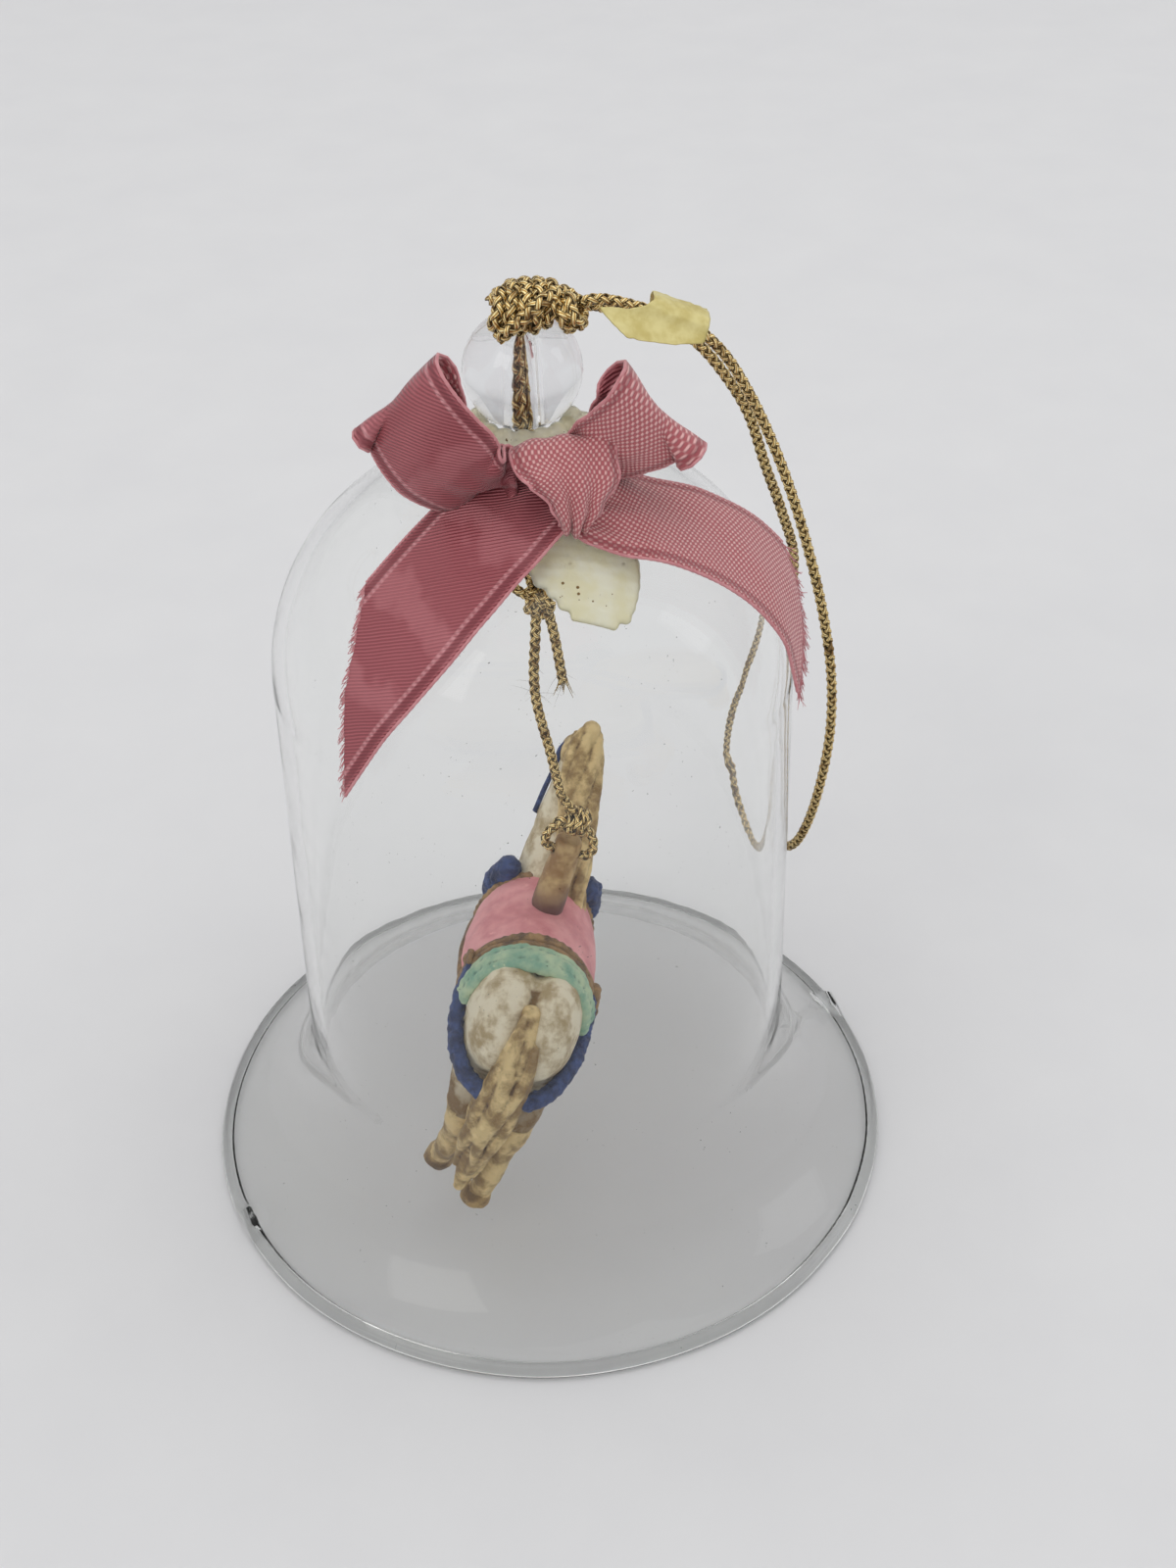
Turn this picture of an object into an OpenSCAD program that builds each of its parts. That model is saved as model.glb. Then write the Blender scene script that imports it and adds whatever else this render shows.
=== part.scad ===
// Glass bell ornament: a blown glass bell with a clear bead and a gold cord loop on
// top, a satin bow glued to its shoulder, and a cast carousel horse that hangs inside
// on the cord as the clapper. It stands on its rim, and +Z is the bell's axis.
// Origin: centre of the rim, on the surface that the bell stands on.

/* [Bell] */
// Outer radius of the rolled rim
rim_r = 35; // [33:0.5:42]
// Outer radius of the waist, where the flare starts
waist_r = 24; // [23:0.5:28]
// Outer radius of the body just below the dome
shoulder_r = 23.4; // [23:0.2:28]
// Height of the waist above the rim
waist_z = 17; // [14:1:20]
// Height where the dome starts
shoulder_z = 58; // [56:1:64]
// Height of the dome's crown
crown_z = 77.7; // [76:0.5:94]
// Height of the glass collar on the crown
collar_h = 4.7; // [4:0.1:6]
// Outer radius of the collar
collar_r = 5.2; // [4.6:0.1:6.4]
// Radius of the cord hole in the collar
hole_r = 2; // [1.6:0.1:2.4]
// Thickness of the glass
wall = 1.2; // [1:0.05:1.5]
// Radius of the bead rolled along the rim
rim_bead_r = 1.1; // [0.9:0.05:1.4]

/* [Bead] */
// Diameter of the clear bead
bead_d = 10; // [9:0.5:12]
// Radius of the bead's drilled hole
bead_hole_r = 1.2; // [1.05:0.05:1.5]

/* [Cord] */
// Diameter of the gold cord
cord_d = 1; // [0.8:0.05:1.2]
// Height of the knot that stops the cord on the bead
knot_h = 4.4; // [4:0.2:6]
// Width of the stopper knot
knot_w = 7.5; // [6:0.5:9]

/* [Bow] */
// Width of the satin ribbon
ribbon_w = 10; // [9:0.5:12]
// Thickness of the ribbon with its curl
ribbon_t = 0.6; // [0.4:0.1:0.8]

/* [Horse] */
// Radius of the pole's stub
pole_r = 1.5; // [1.2:0.1:1.8]
// Radius of the cross hole in the stub
eye_r = 0.65; // [0.6:0.05:0.9]
// Half width of the horse's barrel
barrel_r = 5.6; // [5:0.1:6]

/* [Hidden] */
$fn = 48;
cord_r = cord_d / 2;
bead_r = bead_d / 2;
collar_z = crown_z + collar_h;
bead_z = collar_z + sqrt(bead_r * bead_r - hole_r * hole_r);
knot_seat = 0.9;
knot_z = bead_z + bead_r + knot_h / 2 - knot_seat;
inner_crown_z = crown_z - wall;

// Gold cord: loop's legs, from the stopper knot over the bell's right side and back
loop_route = [[4.8, 0.1, 92.7], [6.4, 0.3, 92.8], [8.4, 0.5, 92.3], [11, 1, 91.2], [13.8, 1.6, 89.8],
    [16.5, 2.2, 87], [18.8, 2.8, 83], [21, 3.4, 78], [23, 3.8, 72.5], [24.8, 4, 66.5],
    [26.4, 4.2, 60], [27.6, 4.6, 53], [28, 5.2, 46], [27.6, 6.2, 39], [26.8, 7.8, 32.5],
    [25.8, 10.2, 27.6], [24.6, 13, 25.4], [23.3, 16, 25.6], [22, 18.5, 28], [21.1, 19.2, 33],
    [21.2, 18.4, 38.6], [22.8, 16.6, 45.6], [24.3, 14.6, 53.2], [24.5, 12.8, 60.6],
    [22.9, 10.4, 67], [21, 8.2, 73], [19.2, 6.4, 79], [17, 5.1, 83.4], [14.4, 4.2, 87], [11.4, 3.6, 89.2],
    [8.4, 2.8, 90.6], [6.4, 2.2, 91.3], [4.8, 1.7, 91.8]];

// Clapper: the eye of the pole, and how the horse hangs from it
eye = [2.5, 0, 36.1];
hang_turn = [-6, 17, -5];
swing_knot = [0.6, 0, 65];
stub_up = 1.4;
stub_down = 8;
pole_knot_at = [0, 0, 3.5];
pole_knot_r = 1.3;
cord_gap = 0.35;
side_x = pole_r + cord_r + cord_gap;
// One side of the cord at the eye, [sideways, up], from the knot down to the middle of the eye
eye_side = [[0.3, 3.4], [side_x - 0.8, 2.7], [side_x - 0.1, 1.6], [side_x, 0.7], [side_x - 0.35, 0.1],
    [side_x - 1, 0]];
// Cord from the inner knot down to the knot on the eye
drop_route = [[0.4, 0, 63.2], [0.2, 0, 60], [0, -0.1, 57], [0.1, -0.2, 54], [0.6, -0.2, 51],
    [1.2, -0.1, 48], [1.7, 0, 45], [2.2, 0, 42.4], [3.4, 0.2, 40.9]];

function mid_flare(a) = let(far = waist_r - wall / 2, a_end = 75,
    wide = (rim_r - rim_bead_r - far) / (1 - cos(a_end)), high = (waist_z - rim_bead_r) / sin(a_end))
    [far + wide * (1 - cos(a)), waist_z - high * sin(a)];
function mid_dome(a) = let(wide = shoulder_r - collar_r, high = crown_z - wall / 2 - shoulder_z)
    [collar_r - wall / 2 + wide * cos(a), shoulder_z + high * sin(a)];
// Height of the dome's outer surface at a distance from the axis
function dome_top(r) = shoulder_z + (crown_z - shoulder_z)
    * sqrt(1 - pow((r - collar_r + wall / 2) / (shoulder_r + wall / 2 - collar_r), 2));
function side_of(path, d) = [for (i = [0 : len(path) - 1])
    let(a = path[max(i - 1, 0)], b = path[min(i + 1, len(path) - 1)], t = (b - a) / norm(b - a))
    path[i] + d * [t[1], -t[0]]];
function reversed(path) = [for (i = [len(path) - 1 : -1 : 0]) path[i]];
function unit(v) = v / norm(v);

// Rings of a tube swept along a route, and the faces that close it
function tube_rings(route, r, sides) = [for (i = [0 : len(route) - 1])
    let(t = unit(route[min(i + 1, len(route) - 1)] - route[max(i - 1, 0)]),
        u = unit(cross(t, [0.13, 0.97, 0.2])), v = cross(t, u))
    for (k = [0 : sides - 1]) route[i] + r * (u * cos(360 * k / sides) + v * sin(360 * k / sides))];
function tube_faces(n, sides) = concat(
    [[for (k = [0 : sides - 1]) k]],
    [for (i = [0 : n - 2], k = [0 : sides - 1]) let(m = (k + 1) % sides)
        [i * sides + k, (i + 1) * sides + k, (i + 1) * sides + m, i * sides + m]],
    [[for (k = [sides - 1 : -1 : 0]) (n - 1) * sides + k]]);

module tube(route, r, sides = 8) {
    polyhedron(tube_rings(route, r, sides), tube_faces(len(route), sides), convexity = 6);
}

// A round bar between two points
module bar(a, b, r) {
    d = b - a;
    translate(a) rotate([0, acos(d[2] / norm(d)), atan2(d[1], d[0])]) cylinder(h = norm(d), r = r);
}

// A tapering limb through points, each [x, y, z, radius]
module limb(points) {
    for (i = [0 : len(points) - 2]) hull() {
        for (p = [points[i], points[i + 1]])
            translate([p[0], p[1], p[2]]) sphere(r = p[3], $fn = 16);
    }
}

// A round lump with a radius along each axis
module lump(at, radii) {
    translate(at) resize(2 * radii) sphere(r = 1, $fn = 28);
}

// Puts a piece of the horse in its hanging place, from a frame whose origin is the eye
module hung() {
    translate(eye) rotate(hang_turn) children();
}

module glass_bell() {
    path = concat([for (a = [75 : -7.5 : 0]) mid_flare(a)], [for (a = [0 : 7.5 : 90]) mid_dome(a)]);
    outer = side_of(path, wall / 2);
    inner = side_of(path, -wall / 2);
    color("azure", 0.35) difference() {
        union() {
            rotate_extrude($fn = 96) polygon(concat(outer, reversed(inner)));
            rotate_extrude($fn = 96) intersection() {
                translate([rim_r - rim_bead_r, rim_bead_r - 0.1]) circle(r = rim_bead_r, $fn = 24);
                translate([0, 0]) square([2 * rim_r, 4 * rim_bead_r]);
            }
            translate([0, 0, inner_crown_z]) cylinder(r = collar_r, h = collar_z - inner_crown_z);
        }
        translate([0, 0, inner_crown_z - 1]) cylinder(r = hole_r, h = collar_h + wall + 2);
    }
}

module bead() {
    color("white", 0.4) translate([0, 0, bead_z]) difference() {
        sphere(r = bead_r, $fn = 64);
        translate([0, 0, -bead_r - 1]) cylinder(r = bead_hole_r, h = bead_d + 2);
    }
}

module top_knot() {
    color("goldenrod") {
        translate([0.3, 0, knot_z]) resize([knot_w, knot_w * 0.8, knot_h]) sphere(r = 1, $fn = 28);
        translate([3.1, -0.9, knot_z - 1]) sphere(r = 1.5, $fn = 20);
    }
}

// Two runs of the cord side by side, straight between two points
module doubled_cord(a, b) {
    for (s = [-1, 1]) bar(a + [s * 0.48 * cord_d, 0, 0], b + [s * 0.48 * cord_d, 0, 0], cord_r);
}

module core_cord() {
    color("goldenrod") doubled_cord([0, 0, inner_crown_z], [0, 0, knot_z]);
}

module hanging_loop() {
    color("gold") tube(loop_route, cord_r);
}

module foil_label() {
    color("khaki") translate([12.4, 1.4, 90.8]) rotate([0, 24, 6]) {
        translate([0, -0.3, -0.1]) cube([6.4, 3.2, 1.5], center = true);
        translate([-2.2, -1.6, -1.3]) rotate([74, 0, 0])
            linear_extrude(height = 0.25, center = true)
                polygon([[-4, 0.6], [-0.8, 1.9], [4.4, 1.4], [3.2, -0.8], [-1.4, -1.4]]);
    }
}

module neck_glue() {
    color("lemonchiffon", 0.7) difference() {
        union() {
            rotate_extrude() translate([0, collar_z]) polygon([[0, -2], [collar_r + 0.5, -2],
                [collar_r + 0.7, -1], [collar_r + 0.5, 0.3], [collar_r - 1, 1.4], [0, 1.4]]);
            translate([0.4, -collar_r, collar_z - 2.4]) sphere(r = 2.2, $fn = 24);
        }
        translate([0, 0, crown_z - 1]) cylinder(r = collar_r, h = collar_h + 1);
        translate([0, 0, bead_z]) sphere(r = bead_r, $fn = 64);
        translate([0, 0, crown_z]) cylinder(r = hole_r + 0.4, h = collar_h + 4);
        translate([0, bead_d + 1.5, collar_z]) cube(2 * bead_d, center = true);
    }
}

// A flat pad of glue that lies on the dome, under the bow
module bow_glue() {
    pad = [[1.2, -10.8, 1.6], [8.2, -11.6, 0.7], [3.4, -16, 0.4], [7.6, -15.6, 0.1]];
    color("lemonchiffon", 0.7) hull() {
        for (p = pad) translate([p[0], p[1], dome_top(norm([p[0], p[1]])) + p[2]]) sphere(r = 1.1, $fn = 16);
    }
}

// Sets a piece down with its X along one direction and its Z across it
module placed(at, along, across) {
    x = unit(along);
    z = unit(across - x * (across * x));
    y = cross(z, x);
    multmatrix([[x[0], y[0], z[0], at[0]], [x[1], y[1], z[1], at[1]], [x[2], y[2], z[2], at[2]],
        [0, 0, 0, 1]]) children();
}

// A strip of ribbon that follows a flat path, and is ribbon_w wide across it
module ribbon_strip(path) {
    linear_extrude(height = ribbon_w, center = true)
        polygon(concat(side_of(path, ribbon_t / 2), reversed(side_of(path, -ribbon_t / 2))));
}

// A strip whose far end is cut on the slant, from short_side to long_side
module slant_cut_strip(path, short_side, long_side) {
    intersection() {
        ribbon_strip(path);
        rotate([90, 0, 0]) linear_extrude(height = 60, center = true)
            polygon([[-4, -ribbon_w], [short_side, -ribbon_w / 2 - 0.1],
                [long_side, ribbon_w / 2 + 0.1], [-4, ribbon_w]]);
    }
}

// A loop of the bow: out along the ribbon, round the bend and back
module ribbon_loop(reach, gape) {
    bend = gape / 2;
    ribbon_strip(concat([[0, 0.5]],
        [for (a = [80 : -20 : -80]) [reach - bend + bend * cos(a), bend * sin(a)]],
        [[0, -0.5]]));
}

// Sets the bow's pieces beside the collar, with heights counted from its top
module at_collar() {
    translate([0, 0, collar_z]) children();
}

module bow_loop_left() {
    color("palevioletred") at_collar() placed([-1.4, -9.6, 2], [-7.5, -0.7, 4.7], [5.4, -3.5, 8.2])
        ribbon_loop(9.6, 4.4);
}

module bow_loop_right() {
    color("palevioletred") at_collar() placed([4.6, -9.4, 2], [0.8, -0.1, 0.6], [0.57, 0.29, -0.76])
        ribbon_loop(7.6, 3.6);
}

module bow_tail_left() {
    color("palevioletred") at_collar() placed([-0.5, -10.8, -1.2], [-0.69, -0.4, -0.6], [0.61, -0.79, -0.1])
        slant_cut_strip([[-2, 0], [4, 0], [10, 0.2], [16, 0.9], [22, 2.2], [29, 4]], 13, 28.6);
}

module bow_tail_right() {
    bend = [[-2, 0], [5, 0.1], [10.5, 0], [14, -0.4], [17.5, -1.2], [21, -2.5], [23.6, -4.4],
        [25.6, -7], [27, -10.5]];
    color("palevioletred") at_collar() placed([6, -9.9, -2.5], [0.84, 0.23, -0.49], [0, -0.91, -0.41])
        slant_cut_strip(bend, 16, 27.5);
}

module bow_knot() {
    color("palevioletred") at_collar() hull() {
        for (p = [[-0.6, -9.5, 1.2], [4, -9.5, 1.6], [6.2, -9.8, -0.4], [3.6, -11.2, -2.2]])
            translate(p) sphere(r = 1.5, $fn = 16);
    }
}

module neck_cord() {
    color("goldenrod") doubled_cord([0, 0, inner_crown_z - 0.6], swing_knot + [0, 0, 2]);
}

module inner_knot() {
    color("goldenrod") translate(swing_knot) sphere(r = 1.5);
}

module drop_cord() {
    color("goldenrod") tube(drop_route, cord_r);
}

// Cut end of the cord that stands out below the inner knot
module cord_tail() {
    color("goldenrod") bar(swing_knot + [0.9, 0, -1.8], [2.7, 0.2, 54.8], cord_r);
}

// The cord through the pole's eye, up both sides of the stub, and the knot that closes it
module pole_knot() {
    color("gold") hung() {
        tube(concat([for (p = eye_side) [-p[0], 0, p[1]]], [for (p = reversed(eye_side)) [p[0], 0, p[1]]]),
            cord_r);
        translate(pole_knot_at) sphere(r = pole_knot_r, $fn = 24);
    }
}

module pole_stub() {
    color("tan") hung() difference() {
        translate([0, 0, -stub_down]) cylinder(r1 = pole_r + 0.5, r2 = pole_r - 0.2, h = stub_down + stub_up);
        rotate([0, 90, 0]) cylinder(r = eye_r, h = 4 * pole_r, center = true);
    }
}

module horse_body() {
    color("oldlace") hung() {
        lump([0, -2.6, -13.6], [barrel_r, 11, 6]);
        lump([0, -10.4, -13], [barrel_r, 6.4, 6.2]);
        lump([0, 6, -13], [barrel_r - 0.6, 6.2, 6.4]);
        limb([[0, 6.6, -10.5, 4.4], [0, 10.2, -3.5, 3], [0, 12.4, 3, 2.2]]);
    }
}

module horse_head() {
    color("tan") hung() {
        limb([[0, 12.4, 3.4, 2.3], [0, 15, 1.4, 2], [0, 17.4, -2.6, 1.5]]);
        for (s = [-1, 1]) limb([[s * 1, 12, 5, 0.8], [s * 1.3, 11.8, 7.2, 0.4]]);
    }
}

module foreleg(side) {
    color("tan") hung() limb([[side * 2.6, 7, -17, 2.3], [side * 2.7, 12.2, -19.4, 1.5],
        [side * 2.6, 11.4, -24, 1.1], [side * 2.6, 9, -26.6, 1.4]]);
}

module foreleg_left() {
    foreleg(-1);
}

module foreleg_right() {
    foreleg(1);
}

module hind_leg_left() {
    color("tan") hung() limb([[-2.6, -10.4, -17, 3], [-2.7, -12.8, -24.4, 1.7], [-2.8, -10.6, -30, 1.3],
        [-3, -8.2, -34, 1.7]]);
}

module hind_leg_right() {
    color("tan") hung() limb([[2.6, -10.6, -17, 3], [2.4, -13, -24.8, 1.7], [1.8, -12.6, -31, 1.3],
        [1.2, -12, -35.2, 1.7]]);
}

module mane() {
    color("goldenrod") hung() limb([[0.4, 10.4, 5.4, 1.6], [1.2, 8.2, 1.4, 1.7], [1.8, 6, -3.2, 1.8],
        [2.6, 3.4, -7.4, 1.7], [3.8, 2, -10.4, 1.3]]);
}

module tail() {
    color("tan") hung() limb([[0, -15.2, -9.8, 1.5], [0, -16.2, -13.6, 1.7], [-0.4, -15.4, -20, 2.2],
        [-0.8, -14.6, -27, 1.9], [-0.8, -14, -32.4, 1]]);
}

// Turns a ring of the body's own outline about the horse's long axis
module body_ring(at, grow, wide) {
    translate(at) rotate([90, 0, 0]) linear_extrude(height = wide, center = true) difference() {
        resize([2 * (barrel_r + grow), 2 * (6 + grow)]) circle(r = 1);
        resize([2 * (barrel_r - 0.6), 2 * 5.4]) circle(r = 1);
    }
}

module saddle() {
    color("hotpink") hung() intersection() {
        lump([0, -1.2, -13.5], [barrel_r + 0.7, 12.4, 6.8]);
        translate([0, -0.6, -8]) cube([20, 11.6, 12], center = true);
    }
}

module blanket_roll() {
    color("mediumturquoise") hung() intersection() {
        body_ring([0, -8.8, -13.2], 1.3, 3.2);
        translate([0, -8.8, -8]) cube([20, 5, 12], center = true);
    }
}

module girth_strap() {
    color("saddlebrown") hung() body_ring([0, -6.6, -13.4], 0.9, 1.2);
}

module breeching_strap() {
    color("steelblue") hung() difference() {
        lump([0, -10.4, -14.6], [barrel_r + 0.8, 7.2, 6]);
        lump([0, -10.4, -14.6], [barrel_r - 0.4, 6.2, 7]);
        translate([0, -10.4, -3.6]) cube([20, 20, 18], center = true);
        translate([0, -10.4, -26]) cube([20, 20, 18], center = true);
        translate([0, -1, -14]) cube([20, 12, 20], center = true);
    }
}

module collar_strap() {
    color("royalblue") hung() {
        for (s = [-1, 1]) limb([[s * 4.4, 5.4, -9.4, 1.3], [s * 4.6, 8, -12.4, 1.4], [s * 3.2, 10.6, -15, 1]]);
    }
}

glass_bell();
bead();
top_knot();
core_cord();
hanging_loop();
foil_label();
neck_glue();
bow_glue();
bow_loop_left();
bow_loop_right();
bow_tail_left();
bow_tail_right();
bow_knot();
neck_cord();
inner_knot();
drop_cord();
cord_tail();
pole_knot();
pole_stub();
horse_body();
horse_head();
foreleg_left();
foreleg_right();
hind_leg_left();
hind_leg_right();
mane();
tail();
saddle();
blanket_roll();
girth_strap();
breeching_strap();
collar_strap();
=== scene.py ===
"""A glass bell ornament: blown bell, bead and knotted gold cord, satin bow, and a cast carousel
horse that hangs inside as the clapper. Built piece by piece around the fixed frame."""
import math
import random

import bmesh
import bpy
from mathutils import Euler, Matrix, Vector, noise


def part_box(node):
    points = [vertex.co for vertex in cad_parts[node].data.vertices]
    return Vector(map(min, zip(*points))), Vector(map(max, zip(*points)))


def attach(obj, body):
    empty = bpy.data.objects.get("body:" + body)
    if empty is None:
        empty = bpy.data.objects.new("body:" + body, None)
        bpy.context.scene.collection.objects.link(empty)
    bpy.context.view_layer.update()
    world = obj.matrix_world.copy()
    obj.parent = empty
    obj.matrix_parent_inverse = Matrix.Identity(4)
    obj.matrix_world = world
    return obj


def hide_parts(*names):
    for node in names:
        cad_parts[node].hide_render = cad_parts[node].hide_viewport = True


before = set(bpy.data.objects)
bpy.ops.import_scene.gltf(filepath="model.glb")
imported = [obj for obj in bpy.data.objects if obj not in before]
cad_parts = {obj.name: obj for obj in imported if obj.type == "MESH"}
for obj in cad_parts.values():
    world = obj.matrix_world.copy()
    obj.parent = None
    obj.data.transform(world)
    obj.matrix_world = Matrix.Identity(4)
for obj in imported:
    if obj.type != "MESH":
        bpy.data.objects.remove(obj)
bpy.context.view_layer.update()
scene = bpy.context.scene

# ---------------------------------------------------------------------------------------------
# Studio: a pale paper sweep under soft overhead light. Only the object itself is a product, so
# the sweep and lamps are staging.
MM = 0.001
rim_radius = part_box("glass_bell")[1].x
bell_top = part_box("glass_bell")[1].z


class Shade:
    """A value on a surface. Arithmetic on it adds the matching nodes."""

    def __init__(self, tree, socket):
        self.tree, self.socket = tree, socket

    def node(self, kind, inputs=(), output=0, stops=None, **settings):
        made = self.tree.nodes.new(kind)
        for name, value in settings.items():
            setattr(made, name, value)
        if stops:
            ramp = made.color_ramp.elements
            while len(ramp) < len(stops):
                ramp.new(1)
            for element, (place, colour) in zip(ramp, stops):
                element.position = place
                element.color = (*colour, 1)
        for key, value in dict(inputs).items():
            if isinstance(value, Shade):
                self.tree.links.new(value.socket, made.inputs[key])
            else:
                made.inputs[key].default_value = value
        return Shade(self.tree, made.outputs[output])

    def math(self, operation, *values):
        return self.node("ShaderNodeMath", dict(enumerate(values)), operation=operation)

    def __add__(self, other):
        return self.math("ADD", self, other)

    def __sub__(self, other):
        return self.math("SUBTRACT", self, other)

    def __mul__(self, other):
        return self.math("MULTIPLY", self, other)

    def __rsub__(self, other):
        return self.math("SUBTRACT", other, self)

    def __pow__(self, other):
        return self.math("POWER", self, other)

    __radd__ = __add__
    __rmul__ = __mul__

    def sin(self):
        return self.math("SINE", self)

    def cos(self):
        return self.math("COSINE", self)

    def absolute(self):
        return self.math("ABSOLUTE", self)

    def between(self, low, high):
        """0 below low, 1 above high, and smooth between them."""
        return self.node("ShaderNodeMapRange", {"Value": self, "From Min": low, "From Max": high},
                         interpolation_type="SMOOTHSTEP")

    def blend(self, first, second):
        """The first colour where this is 0, the second where it is 1."""
        return self.node("ShaderNodeMix", {0: self, 6: first, 7: second}, output=2, data_type="RGBA")

    def noise(self, scale, detail=3.0, rough=0.55):
        """Cloudy variation in the piece's own space, scale times per metre."""
        return self.node("ShaderNodeTexNoise", {"Vector": self, "Scale": scale, "Detail": detail,
                                                "Roughness": rough})

    def axis(self, letter):
        return self.node("ShaderNodeSeparateXYZ", {0: self}, output="XYZ".index(letter))


def colour(red, green, blue, alpha=1.0):
    """A colour as it is read off a screen, 0 to 255, for a shader's socket."""
    linear = [((c / 255 + 0.055) / 1.055) ** 2.4 if c > 10 else c / 3294.6 for c in (red, green, blue)]
    return (*linear, alpha)


class Finish:
    """A new material: its places to read from, and its surface sockets to feed."""

    def __init__(self, name, **constants):
        self.material = bpy.data.materials.new(name)
        self.material.use_nodes = True
        self.tree = self.material.node_tree
        self.surface = self.tree.nodes["Principled BSDF"]
        start = Shade(self.tree, None)
        self.place = start.node("ShaderNodeTexCoord", output="Object")
        self.cloth = start.node("ShaderNodeUVMap", uv_map="UVMap")
        self.hollow = start.node("ShaderNodeNewGeometry", output="Pointiness")
        for socket, value in constants.items():
            self.surface.inputs[socket.replace("_", " ")].default_value = value

    def feed(self, socket, shade):
        self.tree.links.new(shade.socket, self.surface.inputs[socket])

    def relief(self, height, distance, strength=1.0):
        bump = height.node("ShaderNodeBump", {"Height": height, "Distance": distance, "Strength": strength},
                           output="Normal")
        self.feed("Normal", bump)


def deselect():
    for other in bpy.context.selected_objects:
        other.select_set(False)


def pick(*objects):
    """Selects these alone, the first of them active."""
    deselect()
    for chosen in objects:
        chosen.select_set(True)
    bpy.context.view_layer.objects.active = objects[0]


def settle(piece, name, *finishes, smooth=True):
    """Names a finished piece, moves its place into its mesh and gives it its finishes."""
    piece.name = name
    piece.data.name = name
    pick(piece)
    bpy.ops.object.transform_apply(location=True, rotation=True, scale=True)
    if finishes:
        piece.data.materials.clear()
        for finish in finishes:
            piece.data.materials.append(finish.material)
    if smooth:
        bpy.ops.object.shade_smooth()
    return piece


def apply_all(piece):
    """Applies every modifier on a piece, in order."""
    pick(piece)
    for modifier in list(piece.modifiers):
        bpy.ops.object.modifier_apply(modifier=modifier.name)


def paper():
    made = Finish("paper", Roughness=0.75)
    grain = made.place.noise(60, 4)
    made.feed("Base Color", grain.blend(colour(226, 226, 227), colour(219, 219, 221)))
    return made


bpy.ops.mesh.primitive_plane_add(size=2.4, location=(0, 0.2, 0))
bpy.ops.object.mode_set(mode="EDIT")
bpy.ops.mesh.select_all(action="DESELECT")
sheet = bmesh.from_edit_mesh(bpy.context.object.data)
for edge in sheet.edges:
    edge.select = all(v.co.y > 0.5 for v in edge.verts)
bmesh.update_edit_mesh(bpy.context.object.data)
sweep_steps = 12
for k in range(sweep_steps):
    tilt = math.pi / 2 * (k + 1) / sweep_steps
    lift = (0, 0.12 * math.cos(tilt), 0.12 * math.sin(tilt))
    bpy.ops.mesh.extrude_edges_move(TRANSFORM_OT_translate={"value": lift})
bpy.ops.mesh.extrude_edges_move(TRANSFORM_OT_translate={"value": (0, 0, 1.6)})
bpy.ops.object.mode_set(mode="OBJECT")
floor = settle(bpy.context.object, "paper_sweep", paper())


def lamp(name, at, aim, size, power, warmth=(1, 1, 1)):
    """A square soft box that points at a place."""
    bpy.ops.object.light_add(type="AREA", location=at)
    made = bpy.context.object
    made.name = name
    made.data.size = size
    made.data.energy = power
    made.data.color = warmth
    made.rotation_euler = (Vector(aim) - Vector(at)).to_track_quat("-Z", "Y").to_euler()


lamp("overhead_box", (0.05, 0.15, 0.85), (0, 0, 0.03), 0.9, 1.5)
lamp("front_left_box", (-0.55, -0.55, 0.6), (0, 0, 0.05), 0.45, 0.8, (1, 0.985, 0.96))
lamp("right_box", (0.7, 0.05, 0.4), (0, 0, 0.04), 0.35, 0.3, (0.96, 0.98, 1))

world = bpy.data.worlds.new("room")
scene.world = world
world.use_nodes = True
sky = Shade(world.node_tree, None)
up = sky.node("ShaderNodeTexCoord", output="Generated").axis("Z")
room_light = up.node("ShaderNodeValToRGB", {0: up * 0.5 + 0.5}, stops=[
    (0.0, (0.66, 0.66, 0.66)), (0.46, (0.66, 0.66, 0.66)), (0.56, (0.74, 0.74, 0.74)),
    (0.8, (0.86, 0.86, 0.86))])
world.node_tree.links.new(room_light.socket, world.node_tree.nodes["Background"].inputs["Color"])
world.node_tree.nodes["Background"].inputs["Strength"].default_value = 0.9

# The camera stands in front, about 150 mm back from the axis and as high above the bell's top,
# and looks 38 degrees down on it.
look_down = math.radians(38)
lens_long_side = 47.25
camera_data = bpy.data.cameras.new("camera")
camera_data.lens = lens_long_side
camera_data.sensor_width = 36
camera_data.clip_start = 0.01
camera = bpy.data.objects.new("camera", camera_data)
scene.collection.objects.link(camera)
camera_roll = math.radians(-1.1)
camera.location = Vector((4.7, -153.06, 163.5)) * MM
camera.rotation_euler = (Matrix.Rotation(math.pi / 2 - look_down, 3, "X")
                         @ Matrix.Rotation(camera_roll, 3, "Z")).to_euler()
scene.camera = camera
scene.view_settings.view_transform = "Standard"


# ---------------------------------------------------------------------------------------------
# Gold cord: one length of 1 mm metallic braid. Three strands run each way round a brown core,
# each a flat wrap of tinsel, and they cross over and under so that the braid shows chevrons.
CORD = 1.0 * MM


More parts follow.
